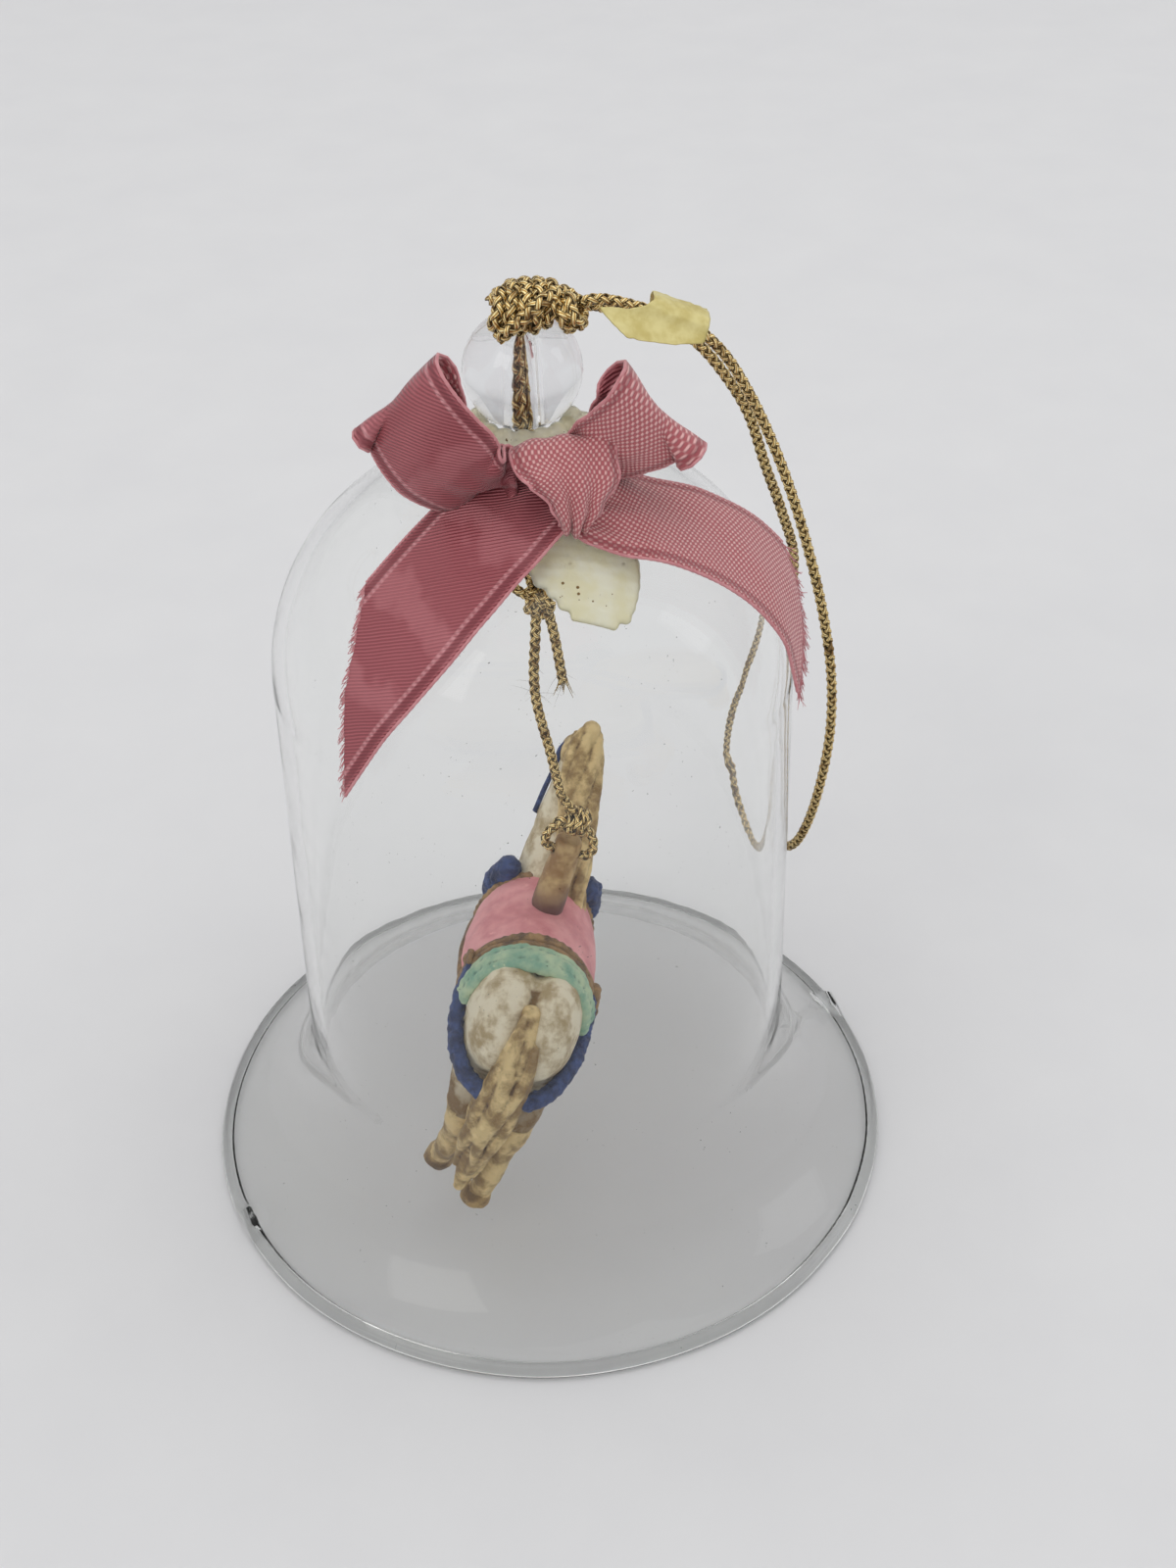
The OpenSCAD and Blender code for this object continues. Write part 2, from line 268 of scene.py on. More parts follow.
def smooth_line(route, step):
    """Points along a smooth curve through the route's own, evenly about step apart."""
    knots = [Vector(p) for p in route]
    knots = [2 * knots[0] - knots[1], *knots, 2 * knots[-1] - knots[-2]]
    fine = []
    for a, b, c, d in zip(knots, knots[1:], knots[2:], knots[3:]):
        for k in range(24):
            t = k / 24
            fine.append(0.5 * (2 * b + (c - a) * t + (2 * a - 5 * b + 4 * c - d) * t * t
                               + (3 * b - a - 3 * c + d) * t ** 3))
    fine.append(knots[-2])
    gone = [0.0]
    for a, b in zip(fine, fine[1:]):
        gone.append(gone[-1] + (b - a).length)
    count = max(4, round(gone[-1] / step))
    line, i = [], 0
    for k in range(count + 1):
        want = gone[-1] * k / count
        while i < len(gone) - 2 and gone[i + 1] < want:
            i += 1
        share = (want - gone[i]) / max(gone[i + 1] - gone[i], 1e-12)
        line.append(fine[i].lerp(fine[i + 1], min(share, 1)))
    return line


def length_of(line):
    return sum((b - a).length for a, b in zip(line, line[1:]))


def carried_frames(line, start=None):
    """Along, sideways and upward at each point of a line, carried on with no twist."""
    frames, side = [], start
    for i in range(len(line)):
        along = (line[min(i + 1, len(line) - 1)] - line[max(i - 1, 0)]).normalized()
        side = side or along.orthogonal()
        side = (side - along * side.dot(along)).normalized()
        frames.append((along, side, along.cross(side)))
    return frames


class Skin:
    """Rings of points gathered into one mesh, with a map in millimetres: round it, and along it."""

    def __init__(self):
        self.points, self.faces, self.marks, self.maps = [], [], [], []

    def tube(self, rings, mark=0, spacing=1.0):
        first, sides = len(self.points), len(rings[0])
        for ring in rings:
            self.points.extend(ring)
        for i in range(len(rings) - 1):
            for k in range(sides):
                m = (k + 1) % sides
                a, b = first + i * sides, first + (i + 1) * sides
                self.faces.append((a + k, a + m, b + m, b + k))
                u0, u1, v0, v1 = k / sides, (k + 1) / sides, i * spacing, (i + 1) * spacing
                self.maps.append(((u0, v0), (u1, v0), (u1, v1), (u0, v1)))
                self.marks.append(mark)
        for start, turn in ((first, -1), (first + (len(rings) - 1) * sides, 1)):
            self.faces.append(tuple(start + k for k in range(sides))[::turn])
            self.maps.append(((0.5, 0.0),) * sides)
            self.marks.append(mark)

    def piece(self, name, *finishes):
        mesh = bpy.data.meshes.new(name)
        mesh.from_pydata(self.points, [], self.faces)
        mesh.polygons.foreach_set("material_index", self.marks)
        layer = mesh.uv_layers.new(name="UVMap")
        for face, corners in zip(mesh.polygons, self.maps):
            for loop, place in zip(face.loop_indices, corners):
                layer.data[loop].uv = place
        made = bpy.data.objects.new(name, mesh)
        scene.collection.objects.link(made)
        return settle(made, name, *finishes)


def round_rings(line, radius, sides):
    """Circles round a line; radius is one number or a function of the share along it."""
    rings = []
    for i, (here, (_, side, up_)) in enumerate(zip(line, carried_frames(line))):
        r = radius(i / (len(line) - 1)) if callable(radius) else radius
        rings.append([here + r * (side * math.cos(2 * math.pi * k / sides)
                                  + up_ * math.sin(2 * math.pi * k / sides)) for k in range(sides)])
    return rings


def braid_into(skin, line, width=CORD, each_way=3, pitch=3.1 * MM, loose=1.0):
    """Winds the braid's strands round a line, over and under, with a core inside."""
    step = length_of(line) / (len(line) - 1)
    frames = carried_frames(line)
    swing = 2 * math.pi * step / pitch
    for way in (1, -1):
        for strand in range(each_way):
            rings = []
            for i, (here, (along, side, up_)) in enumerate(zip(line, frames)):
                turn = way * swing * i + 2 * math.pi * strand / each_way
                out = side * math.cos(turn) + up_ * math.sin(turn)
                round_ = along.cross(out) * way * 0.62 + along * 0.78
                flat = out.cross(round_).normalized()
                reach = width * (0.33 * loose + way * 0.07 * math.cos(each_way * swing * i))
                middle = here + out * reach
                rings.append([middle + flat * (0.215 * width * math.cos(a))
                              + out * (0.12 * width * math.sin(a))
                              for a in (2 * math.pi * k / 6 for k in range(6))])
            skin.tube(rings, 0, step / MM)
    skin.tube(round_rings(line, width * 0.27, 8), 1, step / MM)


def gold_thread():
    made = Finish("gold_thread", Metallic=0.8, Specular_IOR_Level=0.7)
    lay = (made.cloth.axis("X") * 34 + made.cloth.axis("Y") * 9).sin()
    # Near each strand's two edges, where it turns under its neighbours, the colour is taken almost to black
    # at the end: painted shade between the strands.
    edge = (made.cloth.axis("X") * (2 * math.pi)).cos().absolute().between(0.7, 0.98)
    worn = made.place.noise(900, 3).between(0.52, 0.7)
    # The lay runs from mid gold up to a near-white gold on its ridges: partly the tinsel's own ridges, partly
    # painted glints.
    lay_with_painted_glints = lay.between(-0.9, 0.8).blend(colour(190, 146, 74), colour(255, 236, 176))
    rubbed = (worn * 0.8).blend(lay_with_painted_glints, colour(112, 74, 30))
    made.feed("Base Color", (edge * 0.85).blend(rubbed, colour(44, 26, 8)))
    made.feed("Roughness", worn * 0.25 + 0.24)
    made.relief(lay, 0.00003, 0.7)
    return made


def brown_core():
    made = Finish("brown_core", Roughness=0.8)
    fibre = made.place.noise(2500, 2)
    made.feed("Base Color", fibre.blend(colour(48, 30, 12), colour(96, 66, 30)))
    return made


GOLD, CORE = gold_thread(), brown_core()
cord_step = 0.13 * MM

loop_route = [(4.8, 0.1, 92.7), (6.4, 0.3, 92.8), (8.4, 0.5, 92.3), (11, 1, 91.2), (13.8, 1.6, 89.8),
              (16.5, 2.2, 87), (18.8, 2.8, 83), (21, 3.4, 78), (23, 3.8, 72.5), (24.8, 4, 66.5),
              (26.4, 4.2, 60), (27.6, 4.6, 53), (28, 5.2, 46), (27.6, 6.2, 39), (26.8, 7.8, 32.5),
              (25.8, 10.2, 27.6), (24.6, 13, 25.4), (23.3, 16, 25.6), (22, 18.5, 28), (21.1, 19.2, 33),
              (21.2, 18.4, 38.6), (22.8, 16.6, 45.6), (24.3, 14.6, 53.2), (24.5, 12.8, 60.6),
              (22.9, 10.4, 67), (21, 8.2, 73), (19.2, 6.4, 79), (17, 5.1, 83.4), (14.4, 4.2, 87),
              (11.4, 3.6, 89.2),
              (8.4, 2.8, 90.6), (6.4, 2.2, 91.3), (4.8, 1.7, 91.8)]
loop_line = smooth_line([Vector(p) * MM for p in loop_route], cord_step)
skin = Skin()
braid_into(skin, loop_line)
hanging_loop = skin.piece("hanging_loop_braid", GOLD, CORE)
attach(hanging_loop, "loop")
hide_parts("hanging_loop")


# Foil label: a blank strip of yellow-gold foil, folded over both strands of the loop with its
# ends pressed together below them. One end is cut to a point and hangs forward.
def gold_foil():
    made = Finish("gold_foil", Metallic=0.2, Specular_IOR_Level=0.55)
    scuff = made.place.noise(700, 4)
    made.feed("Base Color", scuff.between(0.35, 0.7).blend(colour(222, 210, 146), colour(200, 184, 112)))
    made.feed("Roughness", scuff * 0.25 + 0.28)
    made.relief(made.place.noise(500, 3), 0.00012, 0.6)
    return made


label_at = (Matrix.Translation(Vector((11.6, 1.5, 91.1)))
            @ Euler((0, math.radians(23), math.radians(6))).to_matrix().to_4x4())
# The fold, from the back end up over the strands and down to the front end: across and up, then
# how far the foil reaches to the left and to the right of its middle there.
fold = [(1.3, -2.0, 0.2, 2.4), (1.75, -0.9, -0.7, 3.2), (1.75, 0.3, -1.1, 3.5), (1.1, 0.95, -1.2, 3.6),
        (0.2, 1.05, -1.3, 3.6), (-0.8, 0.9, -1.4, 3.6), (-1.35, 0.45, -2.0, 3.6), (-1.7, -0.2, -3.8, 3.6),
        (-2.1, -0.6, -5.7, 3.5), (-2.5, -0.9, -5.3, 2.7), (-2.9, -1.2, -4.4, 1.1), (-3.2, -1.45, -3.6, -0.7),
        (-3.45, -1.65, -3.1, -2.2)]
bpy.ops.mesh.primitive_grid_add(x_subdivisions=26, y_subdivisions=48, size=2)
label = bpy.context.object
for vertex in label.data.vertices:
    along = (vertex.co.y + 1) / 2 * (len(fold) - 1)
    k = min(int(along), len(fold) - 2)
    y, z, left, right = (a + (b - a) * (along - k) for a, b in zip(fold[k], fold[k + 1]))
    x = left + (right - left) * (vertex.co.x + 1) / 2
    crease = 0.12 * noise.noise(Vector((x * 0.7, y * 0.9, z))) + 0.05 * noise.noise(Vector((x, y, z)) * 2.6)
    vertex.co = label_at @ Vector((x, y + crease, z + crease)) * MM
leaf = label.modifiers.new("leaf", "SOLIDIFY")
leaf.thickness = 0.09 * MM
leaf.offset = 1
apply_all(label)
settle(label, "foil_label_strip", gold_foil())
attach(label, "loop")
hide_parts("foil_label")

round(length_of(loop_line), 4)


# ---------------------------------------------------------------------------------------------
# Inside the collar the cord runs doubled through the bead, and is glued in under the crown.


def cord_piece(name, body, node, *routes, width=CORD):
    """A short run or runs of the same braid, which rides on a body and stands for a node."""
    made = Skin()
    for route in routes:
        braid_into(made, smooth_line([Vector(p) * MM for p in route], cord_step), width)
    piece = made.piece(name, GOLD, CORE)
    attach(piece, body)
    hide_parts(node)
    return piece


crown_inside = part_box("core_cord")[0].z / MM
cord_piece("core_cord_pair", "bell", "core_cord",
           [(-0.4, -0.25, crown_inside), (-0.35, -0.3, 82), (-0.3, -0.45, 86), (-0.45, -0.2, 91.6)],
           [(0.35, 0.3, crown_inside), (0.3, 0.35, 82), (0.2, 0.5, 86), (0.35, 0.3, 91.6)])


# ---------------------------------------------------------------------------------------------
# Stopper knot: the same cord wound back on itself in a fat barrel of slanting turns, with a
# tucked turn at its right-hand end where the loop leaves. It sits on the bead.
def wound_knot(centre, half, turns, lean, wobble, seed):
    """The route of a cord wound into a barrel: half its size along X, Y and Z."""
    rng = random.Random(seed)
    route = []
    for i in range(turns * 10 + 1):
        share = i / (turns * 10)
        a = 2 * math.pi * turns * share
        bulge = math.sqrt(max(0.12, 1 - (1.75 * (share - 0.5)) ** 2))
        x = half[0] * (2 * share - 1) * 0.78 + lean * math.sin(a)
        y = half[1] * bulge * math.cos(a) + rng.uniform(-wobble, wobble)
        z = half[2] * bulge * math.sin(a) + rng.uniform(-wobble, wobble)
        route.append(Vector(centre) + Vector((x, y, z)))
    return route


knot_low, knot_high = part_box("top_knot")
knot_at = ((knot_low + knot_high) / 2) / MM
skin = Skin()
barrel = wound_knot((0.3, -0.6, knot_high.z / MM - 2.75), (3.3, 2.15, 1.8), 5, 0.55, 0.12, 4)
tuck = wound_knot((3.9, -1.3, knot_low.z / MM + 1.7), (1.15, 1.25, 1.15), 2, -0.3, 0.1, 9)
over = [(-1.6, -2.5, 91.0), (-0.9, -3.3, 91.9), (0.2, -3.4, 92.9), (1.5, -2.9, 93.9), (2.6, -1.8, 94.1),
        (3.6, 0, 93.6), (4.4, 0.2, 92.8), (4.8, 0.1, 92.7)]
back_over = [(2.4, 2.1, 91), (3.3, 2.0, 91.2), (4.1, 1.8, 91.6), (4.8, 1.7, 91.8)]
for route in (barrel, tuck, over, back_over):
    braid_into(skin, smooth_line([Vector(p) * MM for p in route], cord_step), CORD * 1.22)
for middle, size in (((0.3, -0.6, knot_high.z / MM - 2.75), (2.5, 1.6, 1.35)),
                     ((3.8, -1.2, knot_low.z / MM + 1.65), (0.9, 0.8, 0.8))):
    rows = 10
    rings = []
    for i in range(rows + 1):
        a = math.pi * (i + 0.2) / (rows + 0.4)
        rings.append([(Vector(middle) + Vector((-size[0] * math.cos(a),
                                                size[1] * math.sin(a) * math.cos(2 * math.pi * k / 16),
                                                size[2] * math.sin(a) * math.sin(2 * math.pi * k / 16)))) * MM
                      for k in range(16)])
    skin.tube(rings, 1)
stopper = skin.piece("stopper_knot", GOLD, CORE)
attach(stopper, "bell")
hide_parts("top_knot")


# ---------------------------------------------------------------------------------------------
# Glass bell: blown clear soda glass, faintly green, about 1.2 mm thick. The rim is rolled over
# into a bead, and the crown ends in a short thick collar with the cord hole.
def clear_glass():
    made = Finish("clear_glass", Roughness=0.01, IOR=1.3, Transmission_Weight=1.0)
    streak = made.place.noise(55, 2)
    dust = made.place.noise(2600, 2).between(0.735, 0.76) * made.place.noise(160, 2).between(0.5, 0.62)
    tint = streak.blend(colour(254, 255, 254), colour(255, 255, 255))
    made.feed("Base Color", dust.blend(tint, colour(90, 92, 88)))
    made.relief(made.place.noise(90, 2), 0.00025, 0.15)
    return made


WALL = 1.2
waist_r, waist_z = 24.0, 17.0
shoulder_r, shoulder_z = 23.4, 58.0
crown_z, collar_r, hole_r = 77.7, 5.2, 2.0
rim_roll = 0.72
collar_z = bell_top / MM


def bell_side(offset):
    """The wall's profile from the rim up to the collar, offset outwards from its middle."""
    far, end = waist_r - WALL / 2, math.radians(75)
    wide = (rim_radius / MM - rim_roll - far) / (1 - math.cos(end))
    high = (waist_z - rim_roll) / math.sin(end)
    middle = []
    for k in range(31):
        a = end * (1 - k / 30)
        middle.append(Vector((far + wide * (1 - math.cos(a)), waist_z - high * math.sin(a))))
    for k in range(1, 13):
        t = k / 12
        middle.append(Vector((far + (shoulder_r - WALL / 2 - far) * t, waist_z
                              + (shoulder_z - waist_z) * t)))
    for k in range(1, 33):
        a = math.pi / 2 * k / 32
        middle.append(Vector((collar_r - WALL / 2 + (shoulder_r - collar_r) * math.cos(a),
                              shoulder_z + (crown_z - WALL / 2 - shoulder_z) * math.sin(a))))
    moved = []
    for i, p in enumerate(middle):
        t = (middle[min(i + 1, len(middle) - 1)] - middle[max(i - 1, 0)]).normalized()
        moved.append(p + offset * Vector((t.y, -t.x)))
    return moved


def spun(profile, name, steps, *finishes, closed=True):
    """Turns a profile of (radius, height) in millimetres about the bell's axis."""
    bpy.ops.mesh.primitive_circle_add(vertices=len(profile), radius=1)
    ring = bpy.context.object
    for vertex, (r, z) in zip(ring.data.vertices, profile):
        vertex.co = (r * MM, 0, z * MM)
    bpy.ops.object.mode_set(mode="EDIT")
    if not closed:
        outline = bmesh.from_edit_mesh(ring.data)
        outline.verts.ensure_lookup_table()
        ends = {outline.verts[0], outline.verts[-1]}
        for edge in list(outline.edges):
            if set(edge.verts) == ends:
                outline.edges.remove(edge)
        bmesh.update_edit_mesh(ring.data)
    bpy.ops.mesh.select_all(action="SELECT")
    bpy.ops.mesh.spin(steps=steps, angle=2 * math.pi, center=(0, 0, 0), axis=(0, 0, 1))
    bpy.ops.mesh.select_all(action="SELECT")
    bpy.ops.mesh.remove_doubles(threshold=0.000004)
    bpy.ops.mesh.normals_make_consistent(inside=False)
    bpy.ops.object.mode_set(mode="OBJECT")
    return settle(ring, name, *finishes)


outside, inside = bell_side(WALL / 2), bell_side(-WALL / 2)
roll_at = Vector((rim_radius / MM - rim_roll, rim_roll - 0.02))
start = math.atan2(*(outside[1] - roll_at).yx)
finish_at = math.atan2(*(inside[1] - roll_at).yx)
roll = []
for k in range(17):
    a = finish_at + (start + 2 * math.pi - finish_at) * k / 16
    roll.append(roll_at + rim_roll * Vector((math.cos(a), math.sin(a))))
round_top = [Vector((collar_r - 0.7 + 0.7 * math.cos(a), collar_z - 0.7 + 0.7 * math.sin(a)))
             for a in (math.pi / 2 * k / 6 for k in range(7))]
neck_fillet = [Vector((collar_r + 1.1 - 1.1 * math.cos(a), crown_z + 1.1 - 1.1 * math.sin(a)))
               for a in (math.pi / 2 * (1 - k / 5) for k in range(6))]
hole_side = [Vector((hole_r, collar_z - 0.2)), Vector((hole_r, crown_z - WALL + 0.3)),
             Vector((hole_r + 0.4, crown_z - WALL))]
profile = ([p for p in outside[2:] if p.x > collar_r + 1.3] + neck_fillet + round_top + hole_side
           + [p for p in reversed(inside[2:]) if p.x > hole_r + 0.9] + roll)
glass_bell = spun(profile, "glass_bell_blown", 160, clear_glass())
# Blown by hand: the wall wanders a little, and the parting line left a nib at each end of the rim.
nib_turns = (math.radians(207), math.radians(24))
for vertex in glass_bell.data.vertices:
    p = vertex.co
    r = math.hypot(p.x, p.y)
    if r > 6 * MM:
        wander = noise.noise(Vector((p.x / r, p.y / r, p.z * 18)) * 1.6) * 0.22 * MM
        rim_share = max(0, 1 - p.z / (9 * MM))
        rim_wave = noise.noise(Vector((p.x / r * 2.4, p.y / r * 2.4, 3.1))) * 0.25 * MM * rim_share
        grow = -abs(wander) * 0.6 - abs(rim_wave)
        p.x += p.x / r * grow
        p.y += p.y / r * grow
    if p.z < 2.6 * MM and r > 33 * MM:
        for turn in nib_turns:
            off = math.atan2(p.y, p.x) - turn
            off = abs(math.atan2(math.sin(off), math.cos(off)))
            nib = math.exp(-(off / 0.03) ** 2)
            p.z += nib * 1.3 * MM * min(1, p.z / (1.0 * MM))
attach(glass_bell, "bell")
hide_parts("glass_bell")


# ---------------------------------------------------------------------------------------------
# Bead: clear polished acrylic, 10 mm, drilled through, seated in the mouth of the collar hole.
def clear_acrylic():
    made = Finish("clear_acrylic", Roughness=0.03, IOR=1.49, Transmission_Weight=1.0)
    haze = made.place.noise(300, 2)
    made.feed("Base Color", haze.blend(colour(246, 247, 248), colour(253, 253, 254)))
    made.relief(made.place.noise(420, 2), 0.00006, 0.25)
    return made


bead_low, bead_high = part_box("bead")
bead_r = (bead_high.x - bead_low.x) / 2 / MM
bead_z = (bead_low.z + bead_high.z) / 2 / MM
bore_r = math.sqrt(bead_r ** 2 - ((bead_high.z - bead_low.z) / 2 / MM) ** 2)
open_a = math.asin(bore_r / bead_r)
bead_profile = []
for k in range(41):
    a = math.pi / 2 - open_a - (math.pi - 2 * open_a) * k / 40
    seam = 0.035 * math.exp(-(a / 0.03) ** 2)
    bead_profile.append(((bead_r - 0.04 + seam) * math.cos(a), bead_z
                         + (bead_r - 0.04 + seam) * math.sin(a)))
for k in range(9):
    t = k / 8
    flare = 0.12 * (abs(2 * t - 1) ** 6)
    bead_profile.append((bore_r - 0.12 + flare, bead_z + (2 * t - 1) * (bead_r * math.cos(open_a) - 0.14)))
bead = spun(bead_profile, "clear_bead", 72, clear_acrylic())
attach(bead, "bell")
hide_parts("bead")


# ---------------------------------------------------------------------------------------------
# Hot glue: a pale yellow, cloudy collar at the bead's foot, and a flat pad on the dome under the
# bow. It set with brown-edged bubbles in it.
def hot_glue():
    made = Finish("hot_glue", Roughness=0.28, IOR=1.35, Transmission_Weight=0.5, Coat_Weight=0.25)
    cloud = made.place.noise(420, 4)
    made.feed("Base Color", cloud.between(0.35, 0.68).blend(colour(244, 238, 200), colour(252, 250, 228)))
    made.relief(made.place.noise(900, 3), 0.00016, 0.5)
    return made


def glue_bubble():
    made = Finish("glue_bubble", Roughness=0.3)
    made.feed("Base Color", made.place.noise(2000, 2).blend(colour(86, 60, 22), colour(150, 118, 58)))
    return made


def balls_joined(balls, voxel, name, smoothing=6):
    """Balls [x, y, z, radius] in millimetres, drawn together into one soft-edged lump."""
    made = []
    for x, y, z, r in balls:
        bpy.ops.mesh.primitive_ico_sphere_add(subdivisions=3, radius=r * MM,
                                              location=(x * MM, y * MM, z * MM))
        made.append(bpy.context.object)
    pick(*made)
    bpy.ops.object.join()
    lump = bpy.context.object
    bpy.ops.object.transform_apply(location=True, rotation=True, scale=True)
    skin_over = lump.modifiers.new("skin", "REMESH")
    skin_over.mode = "VOXEL"
    skin_over.voxel_size = voxel * MM
    soften = lump.modifiers.new("soften", "SMOOTH")
    soften.iterations = smoothing
    soften.factor = 0.5
    apply_all(lump)
    lump.name = name
    return lump


def dome_height(x, y):
    """Height of the bell's outside over a place, in millimetres."""
    wide = shoulder_r - collar_r
    reach = min(1, max(0, (math.hypot(x, y) - collar_r - 0.1) / wide))
    return shoulder_z + (crown_z - shoulder_z) * math.sqrt(1 - reach * reach)


GLUE = hot_glue()
neck_ring = []
for k in range(9):
    a = math.radians(180 + 22.5 * k)
    neck_ring.append((4.9 * math.cos(a), 4.9 * math.sin(a), collar_z - 0.5 + 0.35 * math.sin(3 * a), 1.05))
    neck_ring.append((3.9 * math.cos(a), 3.9 * math.sin(a), collar_z + 0.35, 0.8))
neck_ring += [(0.4, -5.6, collar_z - 2.2, 1.5), (2.6, -5.3, collar_z - 2.6, 1.4),
              (-1.8, -5.2, collar_z - 2, 1.3)]
neck_glue = settle(balls_joined(neck_ring, 0.22, "neck"), "neck_glue_blob", GLUE)
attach(neck_glue, "bell")
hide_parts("neck_glue")

# The pad: rows of dabs, each row from its left end to its right one.
pad = []
for y, left, right, r in ((-10.0, 1.2, 7.6, 0.8), (-10.8, 1.0, 8.2, 0.85), (-11.6, 1.0, 8.5, 0.8),
                          (-12.4, 1.1, 8.6, 0.75),
                          (-13.2, 0.9, 8.6, 0.7), (-14.0, 1.2, 8.5, 0.65), (-14.8, 2.2, 8.3, 0.6),
                          (-15.6, 3.0, 8.0, 0.55), (-16.3, 3.9, 7.0, 0.45)):
    dabs = round((right - left) / 0.6)
    for k in range(dabs + 1):
        x = left + (right - left) * k / dabs
        pad.append((x, y, dome_height(x, y) + 0.15, r))
bow_glue = settle(balls_joined(pad, 0.2, "pad", 14), "bow_glue_pad", GLUE)
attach(bow_glue, "bell")
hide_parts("bow_glue")

rng = random.Random(11)
bubbles = []
for _ in range(60):
    x, y = rng.uniform(2.6, 8), rng.uniform(-15.6, -10.4)
    size = rng.choice((0.03, 0.04, 0.05, 0.05, 0.08, 0.14))
    bpy.ops.mesh.primitive_ico_sphere_add(subdivisions=2, radius=size * MM,
                                          location=(x * MM, y * MM, (dome_height(x, y) + 0.72) * MM))
    bubbles.append(bpy.context.object)
for _ in range(26):
    a = math.radians(rng.uniform(200, 340))
    size = rng.choice((0.04, 0.05, 0.07))
    bpy.ops.mesh.primitive_ico_sphere_add(
        subdivisions=2, radius=size * MM,
        location=(4.9 * math.cos(a) * MM, 4.9 * math.sin(a) * MM, (collar_z + rng.uniform(0.3, 0.75)) * MM))
    bubbles.append(bpy.context.object)
pick(*bubbles)
bpy.ops.object.join()
bubble_cloud = settle(bpy.context.object, "glue_bubbles", glue_bubble())
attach(bubble_cloud, "bell")


# ---------------------------------------------------------------------------------------------
# Bow: 10 mm pink satin ribbon, glossy on its face and matte on its back, where the weave shows.
# Two loops and two cut tails come out of a knot band, and the whole is glued to the bell's neck.
RIBBON = 10.0
RIBBON_THICK = 0.22


def satin_face():
    made = Finish("satin_face", Metallic=0.3, Specular_IOR_Level=0.8, Anisotropic=0.5, Sheen_Weight=0.3,
                  Sheen_Roughness=0.35)
    across, along = made.cloth.axis("X"), made.cloth.axis("Y")
    edge = RIBBON / 2 - (across - RIBBON / 2).absolute()
    wander = made.place.noise(300, 2)
    twill = (across * 17 + along * 15 + wander * 5).sin()
    floats = twill.between(-1, 0.9).blend(colour(140, 62, 70), colour(170, 86, 94))
    # Broad bands across the ribbon are lightened towards a pale pink: painted sheen.
    painted_sheen_bands = (along * 0.8 + wander * 5).sin().between(0.1, 1.0)
    floats_with_painted_sheen = (painted_sheen_bands * 0.3).blend(floats, colour(206, 132, 138))
    groove = edge.between(0.25, 0.45) - edge.between(0.75, 0.95)
    stitch = (edge.between(0.85, 0.98) - edge.between(1.15, 1.3)) * ((along * 11).sin() * 0.3 + 0.6)
    grooved_with_painted_sheen = (groove * 0.6).blend(floats_with_painted_sheen, colour(120, 44, 54))
    made.feed("Base Color", (stitch * 0.7).blend(grooved_with_painted_sheen, colour(222, 160, 164)))
    made.feed("Roughness", twill * 0.05 + groove * 0.2 + 0.36)
    made.relief(twill * 0.8 + stitch - groove, 0.00006, 0.7)
    return made


def satin_back():
    made = Finish("satin_back", Sheen_Weight=0.35, Sheen_Roughness=0.5, Specular_IOR_Level=0.35)
    across, along = made.cloth.axis("X"), made.cloth.axis("Y")
    edge = RIBBON / 2 - (across - RIBBON / 2).absolute()
    wander = made.place.noise(400, 2)
    warp = (across * 10.5 + along * 4 + wander * 2).sin()
    weft = (along * 11.5 - across * 2 + wander * 2).sin()
    knots = (warp * weft).between(-0.25, 0.75)
    woven = knots.blend(colour(172, 88, 94), colour(232, 178, 176))
    groove = edge.between(0.25, 0.45) - edge.between(0.75, 0.95)
    made.feed("Base Color", (groove * 0.6).blend(woven, colour(140, 60, 68)))
    made.feed("Roughness", knots * 0.1 + 0.58)
    made.relief(knots * 1.4 - groove, 0.00009, 0.8)
    return made


def cut_thread():
    made = Finish("cut_thread", Roughness=0.55, Sheen_Weight=0.3)
    made.feed("Base Color", made.place.noise(1500, 2).blend(colour(170, 84, 92), colour(224, 162, 166)))
    return made


FACE, BACK, THREAD = satin_face(), satin_back(), cut_thread()


